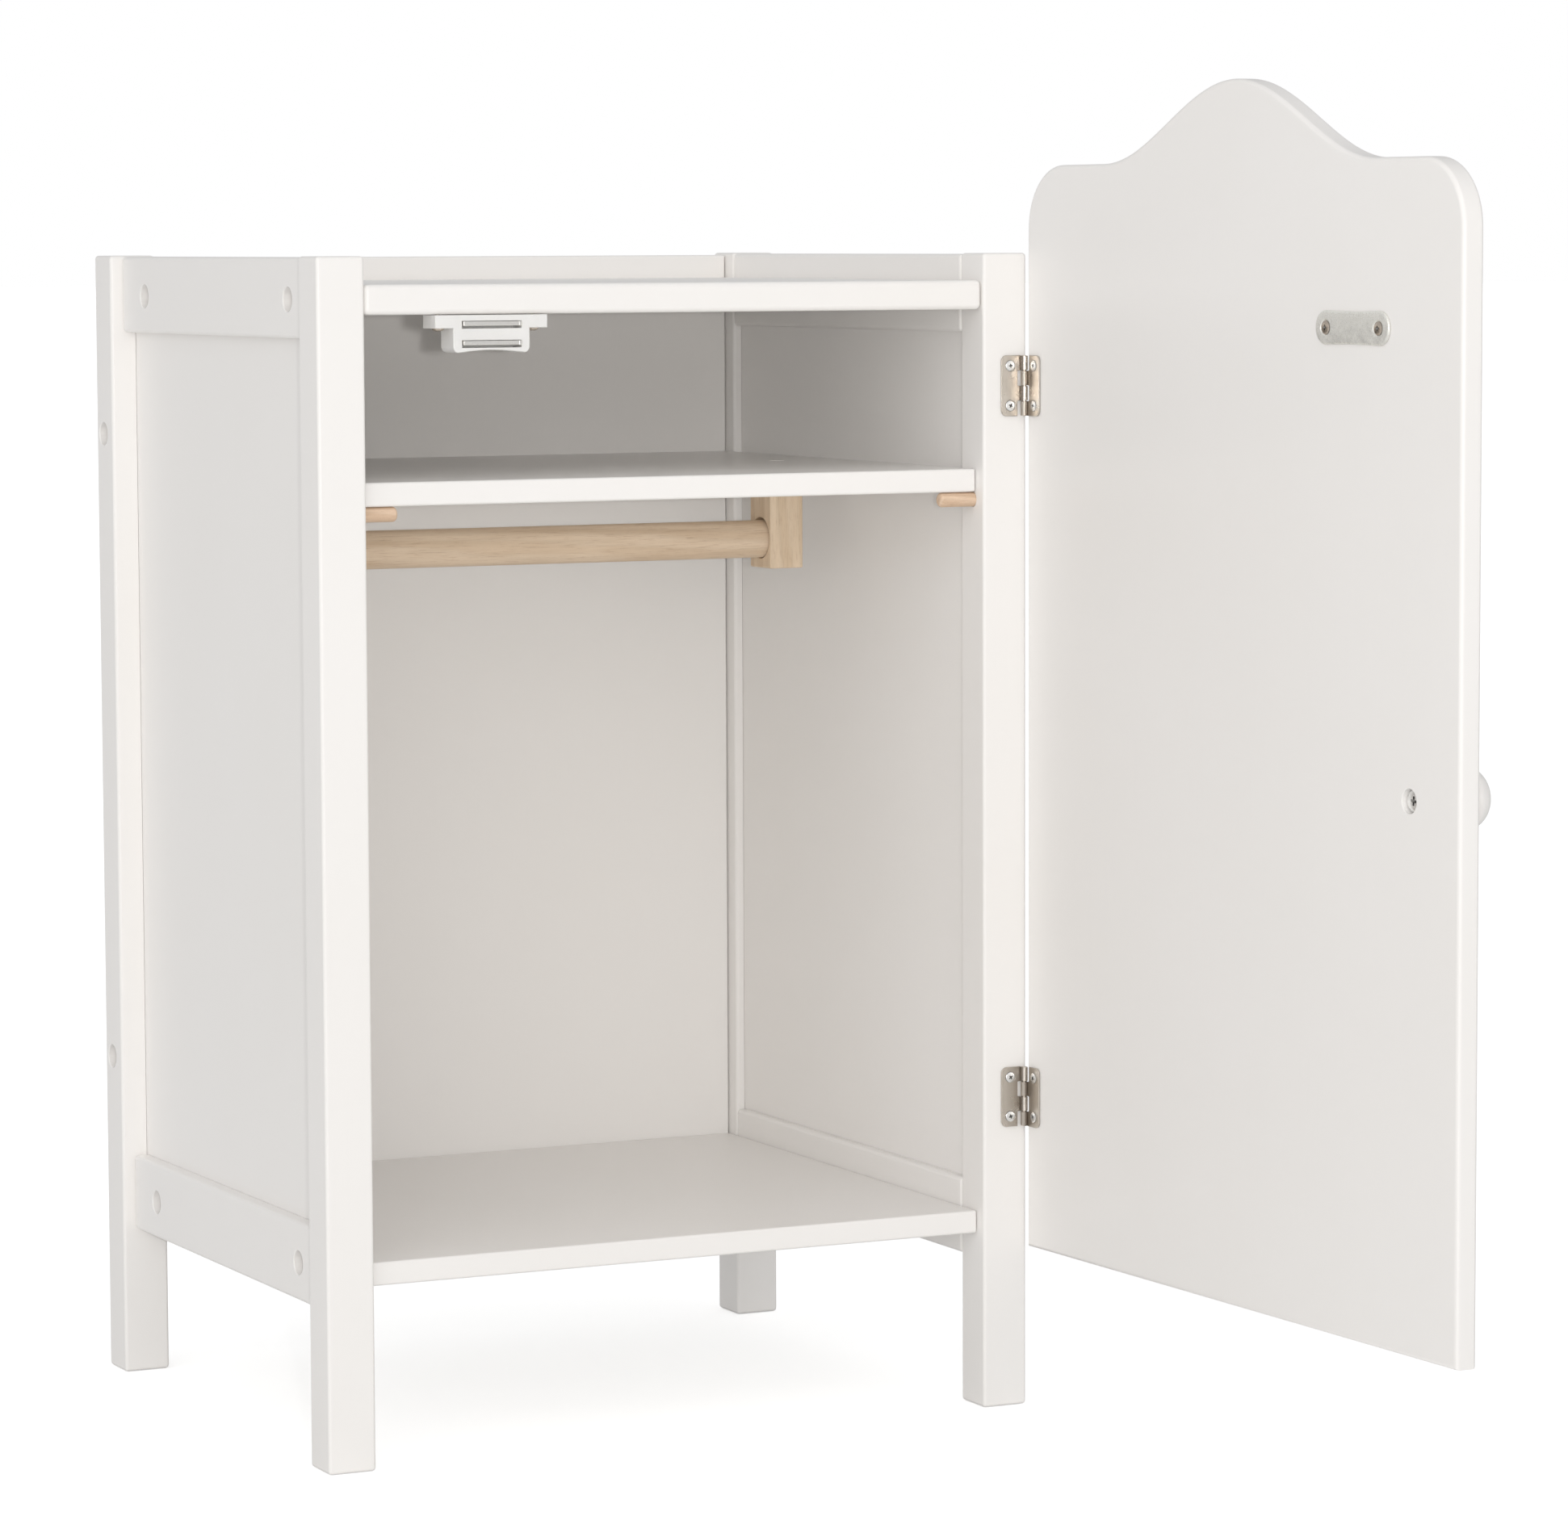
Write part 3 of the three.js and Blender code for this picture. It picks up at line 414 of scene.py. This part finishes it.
def finished_mesh(name, bm, crease, *finishes):
    """A body as a mesh in metres, smooth apart from edges sharper than crease in degrees."""
    mesh = bpy.data.meshes.new(name)
    bm.to_mesh(mesh)
    bm.free()
    mesh.transform(Matrix.Scale(MM, 4))
    mesh.shade_smooth()
    mesh.set_sharp_from_angle(angle=math.radians(crease))
    for finish in finishes:
        mesh.materials.append(FINISH[finish])
    return mesh


def place_piece(node, mesh, body, place):
    """Shows a mesh in place of a CAD node, riding on a moving body."""
    made = bpy.data.objects.new(node + "_look", mesh)
    bpy.context.scene.collection.objects.link(made)
    made.matrix_world = place
    flat = made.modifiers.new("flat_faces", "WEIGHTED_NORMAL")
    flat.keep_sharp = True
    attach(made, body)
    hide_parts(node)


def piece(node, bm, finish, body, place=CARCASS, crease=38):
    """A piece drawn in a local frame, with one finish all over."""
    bmesh.ops.remove_doubles(bm, verts=bm.verts[:], dist=WELD)
    place_piece(node, finished_mesh(node, bm, crease, finish), body, place)


# ---- Carcass --------------------------------------------------------------------------------
BODY, SHELF, LEAF, ROD = "cabinet", "shelf_unit", "door_leaf", "rail_rod"
GAP = 0.15                          # round a panel in its groove, and at the ends of a rail
SIDE_SINK, SIDE_BORE = 4.9, 2.3     # radii of the sinking over a side screw and of its hole
UNDER_HEAD = 0.3                    # how far its head stands up from the sinking's floor
PEG_BORE, PEG_NOSE = 3.2, 1.5       # radii of a peg's hole and of the rounding on its end
PEG_PLAY, PEG_REACH = 0.3, 30       # its hole goes deeper than the peg, and out past the post
POST_ROUND, RAIL_ROUND, PANEL_ROUND = 1.4, 1.8, 0.25
BACK_ROUND, BOARD_ROUND, TRAY_ROUND = 1.2, 1.1, 2.2


def inward(side):
    return Vector((1 if side == LEFT else -1, 0, 0))


def outer_face(low, high, side):
    return low.x if side == LEFT else high.x


def groove(side):
    low, high = extent(f"side_panel_{side}")
    room = Vector((GAP, GAP, GAP))
    return rounded_box(low - room, high + room)


def sinkings(stem, face, side):
    """The sinkings over all the screws of a name that go into the side of the cabinet."""
    cutters = []
    for node in sorted(n for n in NODES if n.startswith(stem)):
        at = middle(node)
        at.x = face
        deep = abs(outer_face(*extent(node), side) - face) + UNDER_HEAD
        cutters.append(sinking(SIDE_SINK, deep, inward(side), at, SIDE_BORE))
    return cutters


def peg_hole(end, side):
    """A cutter for a peg's hole, which goes on inwards past the face of the post."""
    low, high = extent(f"shelf_peg_{end}_{side}")
    half = (high.x - low.x) / 2 + PEG_PLAY
    past = half + PEG_REACH
    profile = [(0, -half), (PEG_BORE, -half), (PEG_BORE, past), (0, past)]
    return aim(lathe(profile, 32), inward(side), (low + high) / 2)


def post(end, side):
    node = f"post_{end}_{side}"
    low, high = extent(node)
    cutters = [groove(side), peg_hole(end, side)]
    if end == "back":
        cutters += sinkings(f"screw_back_{side}", outer_face(low, high, side), side)
    piece(node, combine(rounded_box(low, high, POST_ROUND), cutters), "upright", BODY)


def side_rail(level, side):
    node = f"side_rail_{level}_{side}"
    low, high = extent(node)
    low.y = extent(f"post_front_{side}")[1].y + GAP
    high.y = extent(f"post_back_{side}")[0].y - GAP
    face = outer_face(low, high, side)
    cutters = [groove(side), *sinkings(f"screw_rail_{level}_{side}", face, side)]
    piece(node, combine(rounded_box(low, high, RAIL_ROUND), cutters), "deep", BODY)


def board(node, rounding, segments, finish):
    piece(node, rounded_box(*extent(node), rounding, segments), finish, BODY)


def shelf_peg(end, side):
    node = f"shelf_peg_{end}_{side}"
    low, high = extent(node)
    radius, half = (high.z - low.z) / 2, (high.x - low.x) / 2
    nose = arc(radius - PEG_NOSE, half - PEG_NOSE, PEG_NOSE, 0, 90, 6)
    profile = [(0, -half), (radius, -half), *nose, (0, half)]
    piece(node, aim(lathe(profile, 40), inward(side), (low + high) / 2), "peg", BODY)


for side in (LEFT, RIGHT):
    for end in ("front", "back"):
        post(end, side)
    for level in ("top", "bottom"):
        side_rail(level, side)
    board(f"side_panel_{side}", PANEL_ROUND, 2, "upright")
board("back_panel", BACK_ROUND, 3, "upright")
board("base_board", BOARD_ROUND, 4, "level")
board("top_board", TRAY_ROUND, 5, "level")
for end in ("front", "back"):
    for side in (LEFT, RIGHT):
        shelf_peg(end, side)

# ---- Shelf unit -----------------------------------------------------------------------------
BLOCK_SINK, BLOCK_HEAD, BLOCK_BORE = 3.35, 1.9, 1.5     # for the screws down into the blocks
BLOCK_ROUND, SOCKET_RADIUS = 0.7, 8.85
SOCKET_UP = 12.8                    # middle of a rod socket above the block's lower end
ROD_PLAY, ROD_CHAMFER = 0.6, 0.9    # the gap past a rod's end, and the chamfer on it


def shelf():
    low, high = extent("middle_shelf")
    cutters = []
    for side in (LEFT, RIGHT):
        at = middle(f"screw_block_{side}")
        at.z = high.z
        cutters.append(sinking(BLOCK_SINK, BLOCK_HEAD, (0, 0, -1), at, BLOCK_BORE, 0.25))
    piece("middle_shelf", combine(rounded_box(low, high, BOARD_ROUND), cutters), "level",
          SHELF)


def rail_block(side):
    node = f"rail_block_{side}"
    low, high = extent(node)
    face = high.x if side == LEFT else low.x
    deep = abs(outer_face(*extent("clothes_rail"), side) - face) + ROD_PLAY
    at = (face, middle("clothes_rail").y, low.z + SOCKET_UP)
    socket = sinking(SOCKET_RADIUS, deep, -inward(side), at, 0, 0.2)
    piece(node, combine(rounded_box(low, high, BLOCK_ROUND, 3), [socket]), "block",
          SHELF)


def clothes_rail():
    low, high = extent("clothes_rail")
    half, radius = (high.x - low.x) / 2, (high.z - low.z) / 2
    profile = [(0, -half), (radius - ROD_CHAMFER, -half), (radius, ROD_CHAMFER - half),
               (radius, half - ROD_CHAMFER), (radius - ROD_CHAMFER, half), (0, half)]
    piece("clothes_rail", aim(lathe(profile, 96), (1, 0, 0), (low + high) / 2), "rod",
          ROD)


shelf()
for side in (LEFT, RIGHT):
    rail_block(side)
clothes_rail()

# ---- Door -----------------------------------------------------------------------------------
CREST_HIGH, CREST_HALF = 31.6, 97.0
SHOULDER_RADIUS, DOOR_ROUND = 26.0, 1.8
KNOB_SINK, KNOB_HEAD = 4.7, 2.4     # radius of the knob screw's sinking, and room for its head
KNOB_FOOT, KNOB_BEAD = 8.1, 0.7     # radii of the knob's foot and of the bead on its rim
KNOB_CAP = 8.4                      # height of the knob's dome


def door_outline(low, high):
    """Square below, round at the shoulders, with a cosine wave as the crest."""
    centre, shoulder = (low.x + high.x) / 2, high.z - CREST_HIGH
    radius = SHOULDER_RADIUS
    points = [(low.x, low.z), (high.x, low.z)]
    points += arc(high.x - radius, shoulder - radius, radius, 0, 90, 16)
    steps = 64
    for i in range(steps + 1):
        reach = 1 - 2 * i / steps
        rise = CREST_HIGH * (1 + math.cos(math.pi * reach)) / 2
        points.append((centre + CREST_HALF * reach, shoulder + rise))
    points += arc(low.x + radius, shoulder - radius, radius, 90, 180, 16)
    return points


def door():
    low, high = extent("door", DOOR)
    at = middle("screw_knob", DOOR)
    at.y = high.y
    deep = high.y - extent("screw_knob", DOOR)[1].y + KNOB_HEAD
    hole = sinking(KNOB_SINK, deep, (0, -1, 0), at, 0, 0.4)
    board_of_door = slab(door_outline(low, high), low.y, high.y, DOOR_ROUND, 5)
    piece("door", combine(board_of_door, [hole]), "upright", LEAF, DOOR)


def knob():
    """Turned from the door outwards: a foot, a hollow neck that flares, and a dome."""
    low, high = extent("knob", DOOR)
    reach, radius = high.y - low.y, (high.z - low.z) / 2
    foot = [(KNOB_FOOT - x, y) for x, y in arc(0, KNOB_BEAD, KNOB_BEAD, -90, 60, 4)]
    neck = [(7.0, 2.6), (6.2, 4.4), (5.95, 6.4), (6.3, 8.8), (7.6, 11.2), (9.6, 13.3),
            (11.2, 14.6)]
    dome = [(radius * math.cos(a), reach - KNOB_CAP + KNOB_CAP * math.sin(a))
            for a in map(math.radians, range(0, 90, 6))]
    profile = [(0, 0), (KNOB_FOOT, 0), *foot, *neck, *dome, (0, reach)]
    at = middle("screw_knob", DOOR)
    at.y = high.y
    piece("knob", aim(lathe(profile, 72), (0, -1, 0), at), "turned", LEAF, DOOR, 60)


door()
knob()

# ---- Screws ---------------------------------------------------------------------------------
# radius and height of the head, radius of the shank, length, and how far the crown and the rim
# of the head stand up
Screw = namedtuple("Screw", "head cone shank long crown rim", defaults=(0.0, 0.0))
SCREWS = {
    "hinge": Screw(2.15, 0.9, 0.95, 8, 0.22, 0.1),
    "strike": Screw(2.6, 1.0, 0.95, 7, 0.25),
    "catch": Screw(2.6, 1.2, 0.95, 12, 1.3),
    "board": Screw(4.0, 2.4, 1.65, 27),
    "block": Screw(3.2, 1.9, 1.35, 22),
    "knob": Screw(4.0, 2.2, 1.75, 16),
}
TURNS = [12, 37, 71, 55, 24, 83, 5, 48, 66, 31]     # how the heads happen to stand, in degrees
ARM_LONG, ARM_THIN, ARM_DEEP = 0.58, 0.15, 0.62     # a cross arm, as shares of head and cone
FLOOR_LONG, FLOOR_THIN = 0.45, 0.7                  # its floor, as shares of its mouth
screw_meshes = {}


def phillips(head, cone, shank, long, crown, rim):
    """A countersunk cross-head screw pointing along local Z, head's rim at the origin."""
    top = [(head * math.sin(a), -crown * math.cos(a) - rim)
           for a in map(math.radians, range(0, 90, 15))]
    profile = [(0, -crown - rim), *top[1:], (head, -rim), (head, 0.12), (shank, cone),
               (shank, long - 2 * shank), (0, long)]
    wide, thin, deep = head * ARM_LONG, head * ARM_THIN, cone * ARM_DEEP
    arms = []
    for turn in (0.0, math.pi / 2):
        arm = rounded_box((-wide, -thin, -crown - rim - CLEAR), (wide, thin, deep))
        for v in arm.verts:
            if v.co.z > 0:
                v.co.x *= FLOOR_LONG
                v.co.y *= FLOOR_THIN
        arm.transform(Matrix.Rotation(turn, 4, "Z"))
        arms.append(arm)
    return combine(lathe(profile, 36), arms)


def darken_recess(bm, screw_kind):
    """Gives the walls and floor of the cross the second material, a dark plate that paints the
    shade in the recess.
    """
    head, crown, rim = screw_kind.head, screw_kind.crown, screw_kind.rim
    for face in bm.faces:
        centre = face.calc_center_median()
        across = math.hypot(centre.x, centre.y)
        surface = -rim - crown * math.sqrt(max(0.0, 1 - (across / head) ** 2))
        below = surface + 0.08 < centre.z < screw_kind.cone * (ARM_DEEP + 0.01)
        if below and across < head * (ARM_LONG + 0.02):
            face.material_index = 1


def screw(node, kind, direction, body, turn, place=CARCASS):
    """Every screw of a kind shares one mesh; each is turned its own way."""
    if kind not in screw_meshes:
        bm = phillips(*SCREWS[kind])
        darken_recess(bm, SCREWS[kind])
        plating = "bronze" if kind in ("strike", "catch") else "zinc"
        screw_meshes[kind] = finished_mesh("screw_" + kind, bm, 30, plating, "recess")
    low, high = extent(node, place)
    way, centre = Vector(direction), (low + high) / 2
    half = abs((high - low).dot(way)) / 2
    head = (centre - way * half) * MM
    aimed = Vector((0, 0, 1)).rotation_difference(way).to_matrix().to_4x4()
    at = place @ Matrix.Translation(head) @ aimed @ Matrix.Rotation(math.radians(turn), 4, "Z")
    place_piece(node, screw_meshes[kind], body, at)


for i, node in enumerate(sorted(n for n in NODES if n.startswith("screw_"))):
    turn = TURNS[i % len(TURNS)]
    if "_rail_" in node or "_back_" in node:
        screw(node, "board", inward(LEFT if "_left_" in node else RIGHT), BODY, turn)
    elif "_block_" in node:
        screw(node, "block", (0, 0, -1), SHELF, turn)
    elif "_catch_" in node:
        screw(node, "catch", (0, 0, 1), BODY, turn)
    elif "_hinge_post_" in node:
        screw(node, "hinge", (0, 1, 0), BODY, turn, HINGE)
    elif "_hinge_door_" in node:
        screw(node, "hinge", (0, -1, 0), LEAF, turn, DOOR)
    elif "_strike_" in node:
        screw(node, "strike", (0, -1, 0), LEAF, turn, DOOR)
    else:
        screw(node, "knob", (0, -1, 0), LEAF, turn, DOOR)

# ---- Hinges ---------------------------------------------------------------------------------
LEAF_THICK, CORNER, LEAF_ROUND = 0.8, 2.4, 0.16
BARREL, BORE, BARREL_ROUND = 1.5, 0.95, 0.2
BARREL_WELD = 1e-5                      # closes the ring of a turn
LEAF_START, SLOT_START = 0.25, 1.25     # where a leaf begins outside the barrel, by its own
                                        # turns and by the other leaf's
LEAF_PLAY, TURN_PLAY = 0.08, 0.12       # half the gaps between steps of a leaf and of the barrel
STRAP_LAP, STRAP_SKIN, STRAP_BITE = 0.8, 0.02, 0.15     # into the leaf, under its faces, and from
                                                        # the bore into the barrel's wall


def knuckle(z0, z1):
    """One turn of a hinge's barrel."""
    soft = BARREL_ROUND
    ring = [(BORE, z0), (BARREL - soft, z0), (BARREL, z0 + soft), (BARREL, z1 - soft),
            (BARREL - soft, z1), (BORE, z1), (BORE, z0)]
    bm = lathe(ring, 40)
    bmesh.ops.remove_doubles(bm, verts=bm.verts[:], dist=BARREL_WELD)
    bmesh.ops.recalc_face_normals(bm, faces=bm.faces[:])
    return bm


def hinge_leaf(owner, level):
    """Half of a hinge: a leaf, its two turns of the barrel and the straps that join them."""
    node, on_door = f"hinge_leaf_{owner}_{level}", owner == "door"
    place, body = (DOOR, LEAF) if on_door else (HINGE, BODY)
    own_turns = (0, 2) if on_door else (1, 3)
    low, high = extent(node, place)
    # the leaf lies on the far side of its barrel turns from the other leaf
    y0, y1 = (-BARREL, LEAF_THICK - BARREL) if on_door else (BARREL - LEAF_THICK, BARREL)
    inner, slot = -(BARREL + LEAF_START), -(BARREL + SLOT_START)
    turn = (high.z - low.z) / 4
    outline, barrel = [], []
    for step in range(4):
        z0 = low.z + step * turn
        reach = inner if step in own_turns else slot
        outline += [(reach, z0 + (0 if step == 0 else LEAF_PLAY)),
                    (reach, z0 + turn - (0 if step == 3 else LEAF_PLAY))]
        if step in own_turns:
            bottom = z0 + TURN_PLAY
            top = bottom + turn - 2 * TURN_PLAY
            strap = rounded_box((inner - STRAP_LAP, y0 + STRAP_SKIN, bottom),
                                (-BORE - STRAP_BITE, y1 - STRAP_SKIN, top))
            barrel += [knuckle(bottom, top), strap]
    outline += arc(low.x + CORNER, high.z - CORNER, CORNER, 90, 180, 8)
    outline += arc(low.x + CORNER, low.z + CORNER, CORNER, 180, 270, 8)
    holes = []
    for i in (1, 2):
        at = middle(f"screw_hinge_{owner}_{level}_{i}", place)
        at.y = y1 if on_door else y0
        funnel = [(2.5, 0), (2.25, 0.14), (SCREW_BORE, 0.95)]
        holes.append(countersink(funnel, 2, (0, -1 if on_door else 1, 0), at))
    leaf = combine(slab(outline, y0, y1, LEAF_ROUND), holes)
    piece(node, combine(leaf, barrel, "UNION"), "nickel", body, place)


def hinge_pin(level):
    node = f"hinge_pin_{level}"
    low, high = extent(node, HINGE)
    radius, tip, taper = 0.8, 0.55, 0.3
    profile = [(0, low.z), (tip, low.z), (radius, low.z + taper), (radius, high.z - taper),
               (tip, high.z), (0, high.z)]
    piece(node, lathe(profile, 32), "nickel", BODY, HINGE)


for level in ("lower", "upper"):
    for owner in ("post", "door"):
        hinge_leaf(owner, level)
    hinge_pin(level)

# ---- Magnetic catch and its strike plate ----------------------------------------------------
FLANGE, CATCH_HALF, CATCH_CORNER = 5.2, 16.35, 2.4
SMILE = 1.1                         # how far its lower edge rises in the middle
TOP_GAP = 0.01                      # under the board above, so that two faces don't meet
POLES = ("catch_pole_upper", "catch_pole_lower")
POLE_HIGH, POLE_END = 1.75, 1.3     # height of a pole, and length of its raised ends
POLE_LIFT, POLE_LIP, POLE_BACK = 0.12, 0.05, 3      # a raised end: out, up and down, and back
POLE_ROOM, POLE_BEHIND = 0.25, 0.2  # round a pole in its pocket, and behind it
STRIKE_WAIST, STRIKE_ROLL = 0.35, 0.85      # how far its edges draw in, and its rim's radius


def catch_body():
    """The white housing, with its flange on top and a lower edge that curves up in the middle."""
    low, high = extent("catch_body")
    centre, ledge, top = (low.x + high.x) / 2, high.z - FLANGE, high.z - TOP_GAP
    left, right = centre - CATCH_HALF, centre + CATCH_HALF
    start, end = left + CATCH_CORNER, right - CATCH_CORNER
    outline = [(low.x, top), (low.x, ledge), (left, ledge)]
    outline += arc(start, low.z + CATCH_CORNER, CATCH_CORNER, 180, 262, 7)
    outline += bowed(start, end, low.z, SMILE, 14)
    outline += arc(end, low.z + CATCH_CORNER, CATCH_CORNER, 278, 360, 7)
    outline += [(right, ledge), (high.x, ledge), (high.x, top)]
    cuts = []
    for pole in POLES:
        a, b = extent(pole)
        cuts.append(rounded_box((a.x - POLE_ROOM, low.y - CLEAR, a.z - POLE_ROOM),
                                (b.x + POLE_ROOM, b.y + POLE_BEHIND, b.z + POLE_ROOM)))
    for i in (1, 2):
        at = middle(f"screw_catch_{i}")
        at.z = ledge
        cuts.append(countersink([(2.95, 0), (SCREW_BORE, 1.3)], 7, (0, 0, 1), at))
    housing = slab(outline, low.y, high.y, 0.55)
    piece("catch_body", combine(housing, cuts), "plastic", BODY)


def catch_pole(node):
    """A steel strip with slightly raised ends."""
    low, high = extent(node)
    low.z = high.z - POLE_HIGH
    ends = [rounded_box((x, low.y - POLE_LIFT, low.z - POLE_LIP),
                        (x + POLE_END, low.y + POLE_BACK, high.z + POLE_LIP), 0.3, 3)
            for x in (low.x, high.x - POLE_END)]
    piece(node, combine(rounded_box(low, high, 0.35, 3), ends, "UNION"), "steel",
          BODY)


def strike_plate():
    """A plate with round ends, a slight waist, a rolled front rim and two dimples for screws."""
    low, high = extent("strike_plate", DOOR)
    lobe, mid = (high.z - low.z) / 2, (low.z + high.z) / 2
    left, right = low.x + lobe, high.x - lobe
    outline = arc(right, mid, lobe, -90, 90, 24) + bowed(right, left, high.z, -STRIKE_WAIST, 16)
    outline += arc(left, mid, lobe, 90, 270, 24) + bowed(left, right, low.z, STRIKE_WAIST, 16)
    plate = slab(outline, low.y, high.y)
    rim = [e for e in plate.edges if all(abs(v.co.y - high.y) < TINY for v in e.verts)]
    round_edges(plate, rim, STRIKE_ROLL, 6)
    cuts = []
    for i in (1, 2):
        at = middle(f"screw_strike_{i}", DOOR)
        at.y = high.y
        dimple = [(3.5, -0.2), (3.3, 0.12), (2.75, 0.3), (SCREW_BORE, 1.4)]
        cuts.append(countersink(dimple, 3, (0, -1, 0), at))
    piece("strike_plate", combine(plate, cuts), "strike", LEAF, DOOR)


catch_body()
for node in POLES:
    catch_pole(node)
strike_plate()

# ---- Floor and surroundings -----------------------------------------------------------------
FLOOR_RADIUS, FLOOR_BELOW = 60.0, 0.0002    # metres
FLOOR_GLOW, SKY = 0.5, 0.56                 # strengths of the floor's glow and the sky's light


def studio_floor():
    """A pale floor that looks nearly white to the camera but lights the object no more."""
    s = Shader("studio_floor", Specular_IOR_Level=0.2, Roughness=0.8)
    s.finish(s.ramp(s.noise(3, 2), (0.3, (0.90, 0.90, 0.895)), (0.7, (0.915, 0.915, 0.91))))
    glow, both = s.add("ShaderNodeEmission"), s.add("ShaderNodeAddShader")
    path = s.add("ShaderNodeLightPath")
    lit = s.add("ShaderNodeMath", operation="MULTIPLY")
    lit.inputs[1].default_value = FLOOR_GLOW
    s.link(path.outputs["Is Camera Ray"], lit.inputs[0])
    s.link(lit.outputs[0], glow.inputs["Strength"])
    s.link(s.bsdf.outputs[0], both.inputs[0])
    s.link(glow.outputs[0], both.inputs[1])
    surface = next(n for n in s.tree.nodes if n.type == "OUTPUT_MATERIAL")
    s.link(both.outputs[0], surface.inputs["Surface"])
    bm = bmesh.new()
    bmesh.ops.create_circle(bm, cap_ends=True, segments=96, radius=FLOOR_RADIUS)
    mesh = bpy.data.meshes.new("floor")
    bm.to_mesh(mesh)
    bm.free()
    mesh.materials.append(s.material)
    floor = bpy.data.objects.new("floor", mesh)
    bpy.context.scene.collection.objects.link(floor)
    floor.location.z = -FLOOR_BELOW


def studio_world():
    """Even light from all round, and a white background for the camera."""
    world = bpy.data.worlds.new("studio")
    bpy.context.scene.world = world
    world.use_nodes = True
    tree = world.node_tree
    fill = next(n for n in tree.nodes if n.type == "BACKGROUND")
    fill.inputs["Color"].default_value = (0.985, 0.99, 1.0, 1.0)
    fill.inputs["Strength"].default_value = SKY
    seen = tree.nodes.new("ShaderNodeBackground")
    seen.inputs["Color"].default_value = (1.0, 1.0, 1.0, 1.0)
    seen.inputs["Strength"].default_value = 1.0
    path, choose = tree.nodes.new("ShaderNodeLightPath"), tree.nodes.new("ShaderNodeMixShader")
    output = next(n for n in tree.nodes if n.type == "OUTPUT_WORLD")
    tree.links.new(path.outputs["Is Camera Ray"], choose.inputs[0])
    tree.links.new(fill.outputs[0], choose.inputs[1])
    tree.links.new(seen.outputs[0], choose.inputs[2])
    tree.links.new(choose.outputs[0], output.inputs["Surface"])


studio_floor()
studio_world()
bpy.context.scene.view_settings.view_transform = "Standard"

# ---- Camera ---------------------------------------------------------------------------------
FOCAL, SENSOR = 133.15, 36.0        # millimetres
YAW, PITCH, ROLL = map(math.radians, (26.14, 5.22, -0.21))
EYE = CARCASS @ (Vector((-831.97, -2105.04, 486.15)) * MM)      # in the carcass's frame

ahead = Vector((math.sin(YAW) * math.cos(PITCH), math.cos(YAW) * math.cos(PITCH),
                -math.sin(PITCH)))
level_right = Vector((math.cos(YAW), -math.sin(YAW), 0))
level_up = level_right.cross(ahead)
right = level_right * math.cos(ROLL) + level_up * math.sin(ROLL)
up = level_up * math.cos(ROLL) - level_right * math.sin(ROLL)
camera_data = bpy.data.cameras.new("camera")
camera_data.lens, camera_data.sensor_width = FOCAL, SENSOR
camera_data.clip_start, camera_data.clip_end = 0.05, 200.0
camera = bpy.data.objects.new("camera", camera_data)
bpy.context.scene.collection.objects.link(camera)
camera.matrix_world = Matrix.Translation(EYE) @ Matrix((right, up, -ahead)).transposed().to_4x4()
bpy.context.scene.camera = camera


# ---- Lights ---------------------------------------------------------------------------------
def sun(name, azimuth, elevation, strength, spread, colour):
    """A soft light from far away; azimuth 0 shines along +Y, positive from the left."""
    data = bpy.data.lights.new(name, "SUN")
    data.energy, data.angle, data.color = strength, math.radians(spread), colour
    made = bpy.data.objects.new(name, data)
    a, e = math.radians(azimuth), math.radians(elevation)
    source = Vector((-math.sin(a) * math.cos(e), -math.cos(a) * math.cos(e), math.sin(e)))
    made.rotation_mode = "QUATERNION"
    made.rotation_quaternion = (-source).to_track_quat("-Z", "Y")
    bpy.context.scene.collection.objects.link(made)


def lamp(name, aside, above, power, radius, colour):
    """A round light beside the camera, as a flash or a softbox on the same stand."""
    data = bpy.data.lights.new(name, "POINT")
    data.energy, data.shadow_soft_size, data.color = power, radius, colour
    made = bpy.data.objects.new(name, data)
    made.location = EYE + level_right * aside + Vector((0, 0, above))
    made.visible_camera = False
    bpy.context.scene.collection.objects.link(made)


# name, metres right of the camera and above it, power, radius, colour
lamp("flash", 0.085, 0.0, 38.0, 0.018, (1.0, 0.99, 0.975))
lamp("softbox", -0.3, 0.35, 11.0, 0.45, (1.0, 0.988, 0.97))
# name, azimuth, elevation, strength, angular size, colour
sun("front_left", 48, 16, 0.58, 60, (1.0, 0.985, 0.97))
sun("front_high", 12, 42, 0.10, 60, (1.0, 0.99, 0.98))
sun("overhead", -10, 70, 0.14, 60, (1.0, 0.995, 0.99))

bpy.context.view_layer.update()
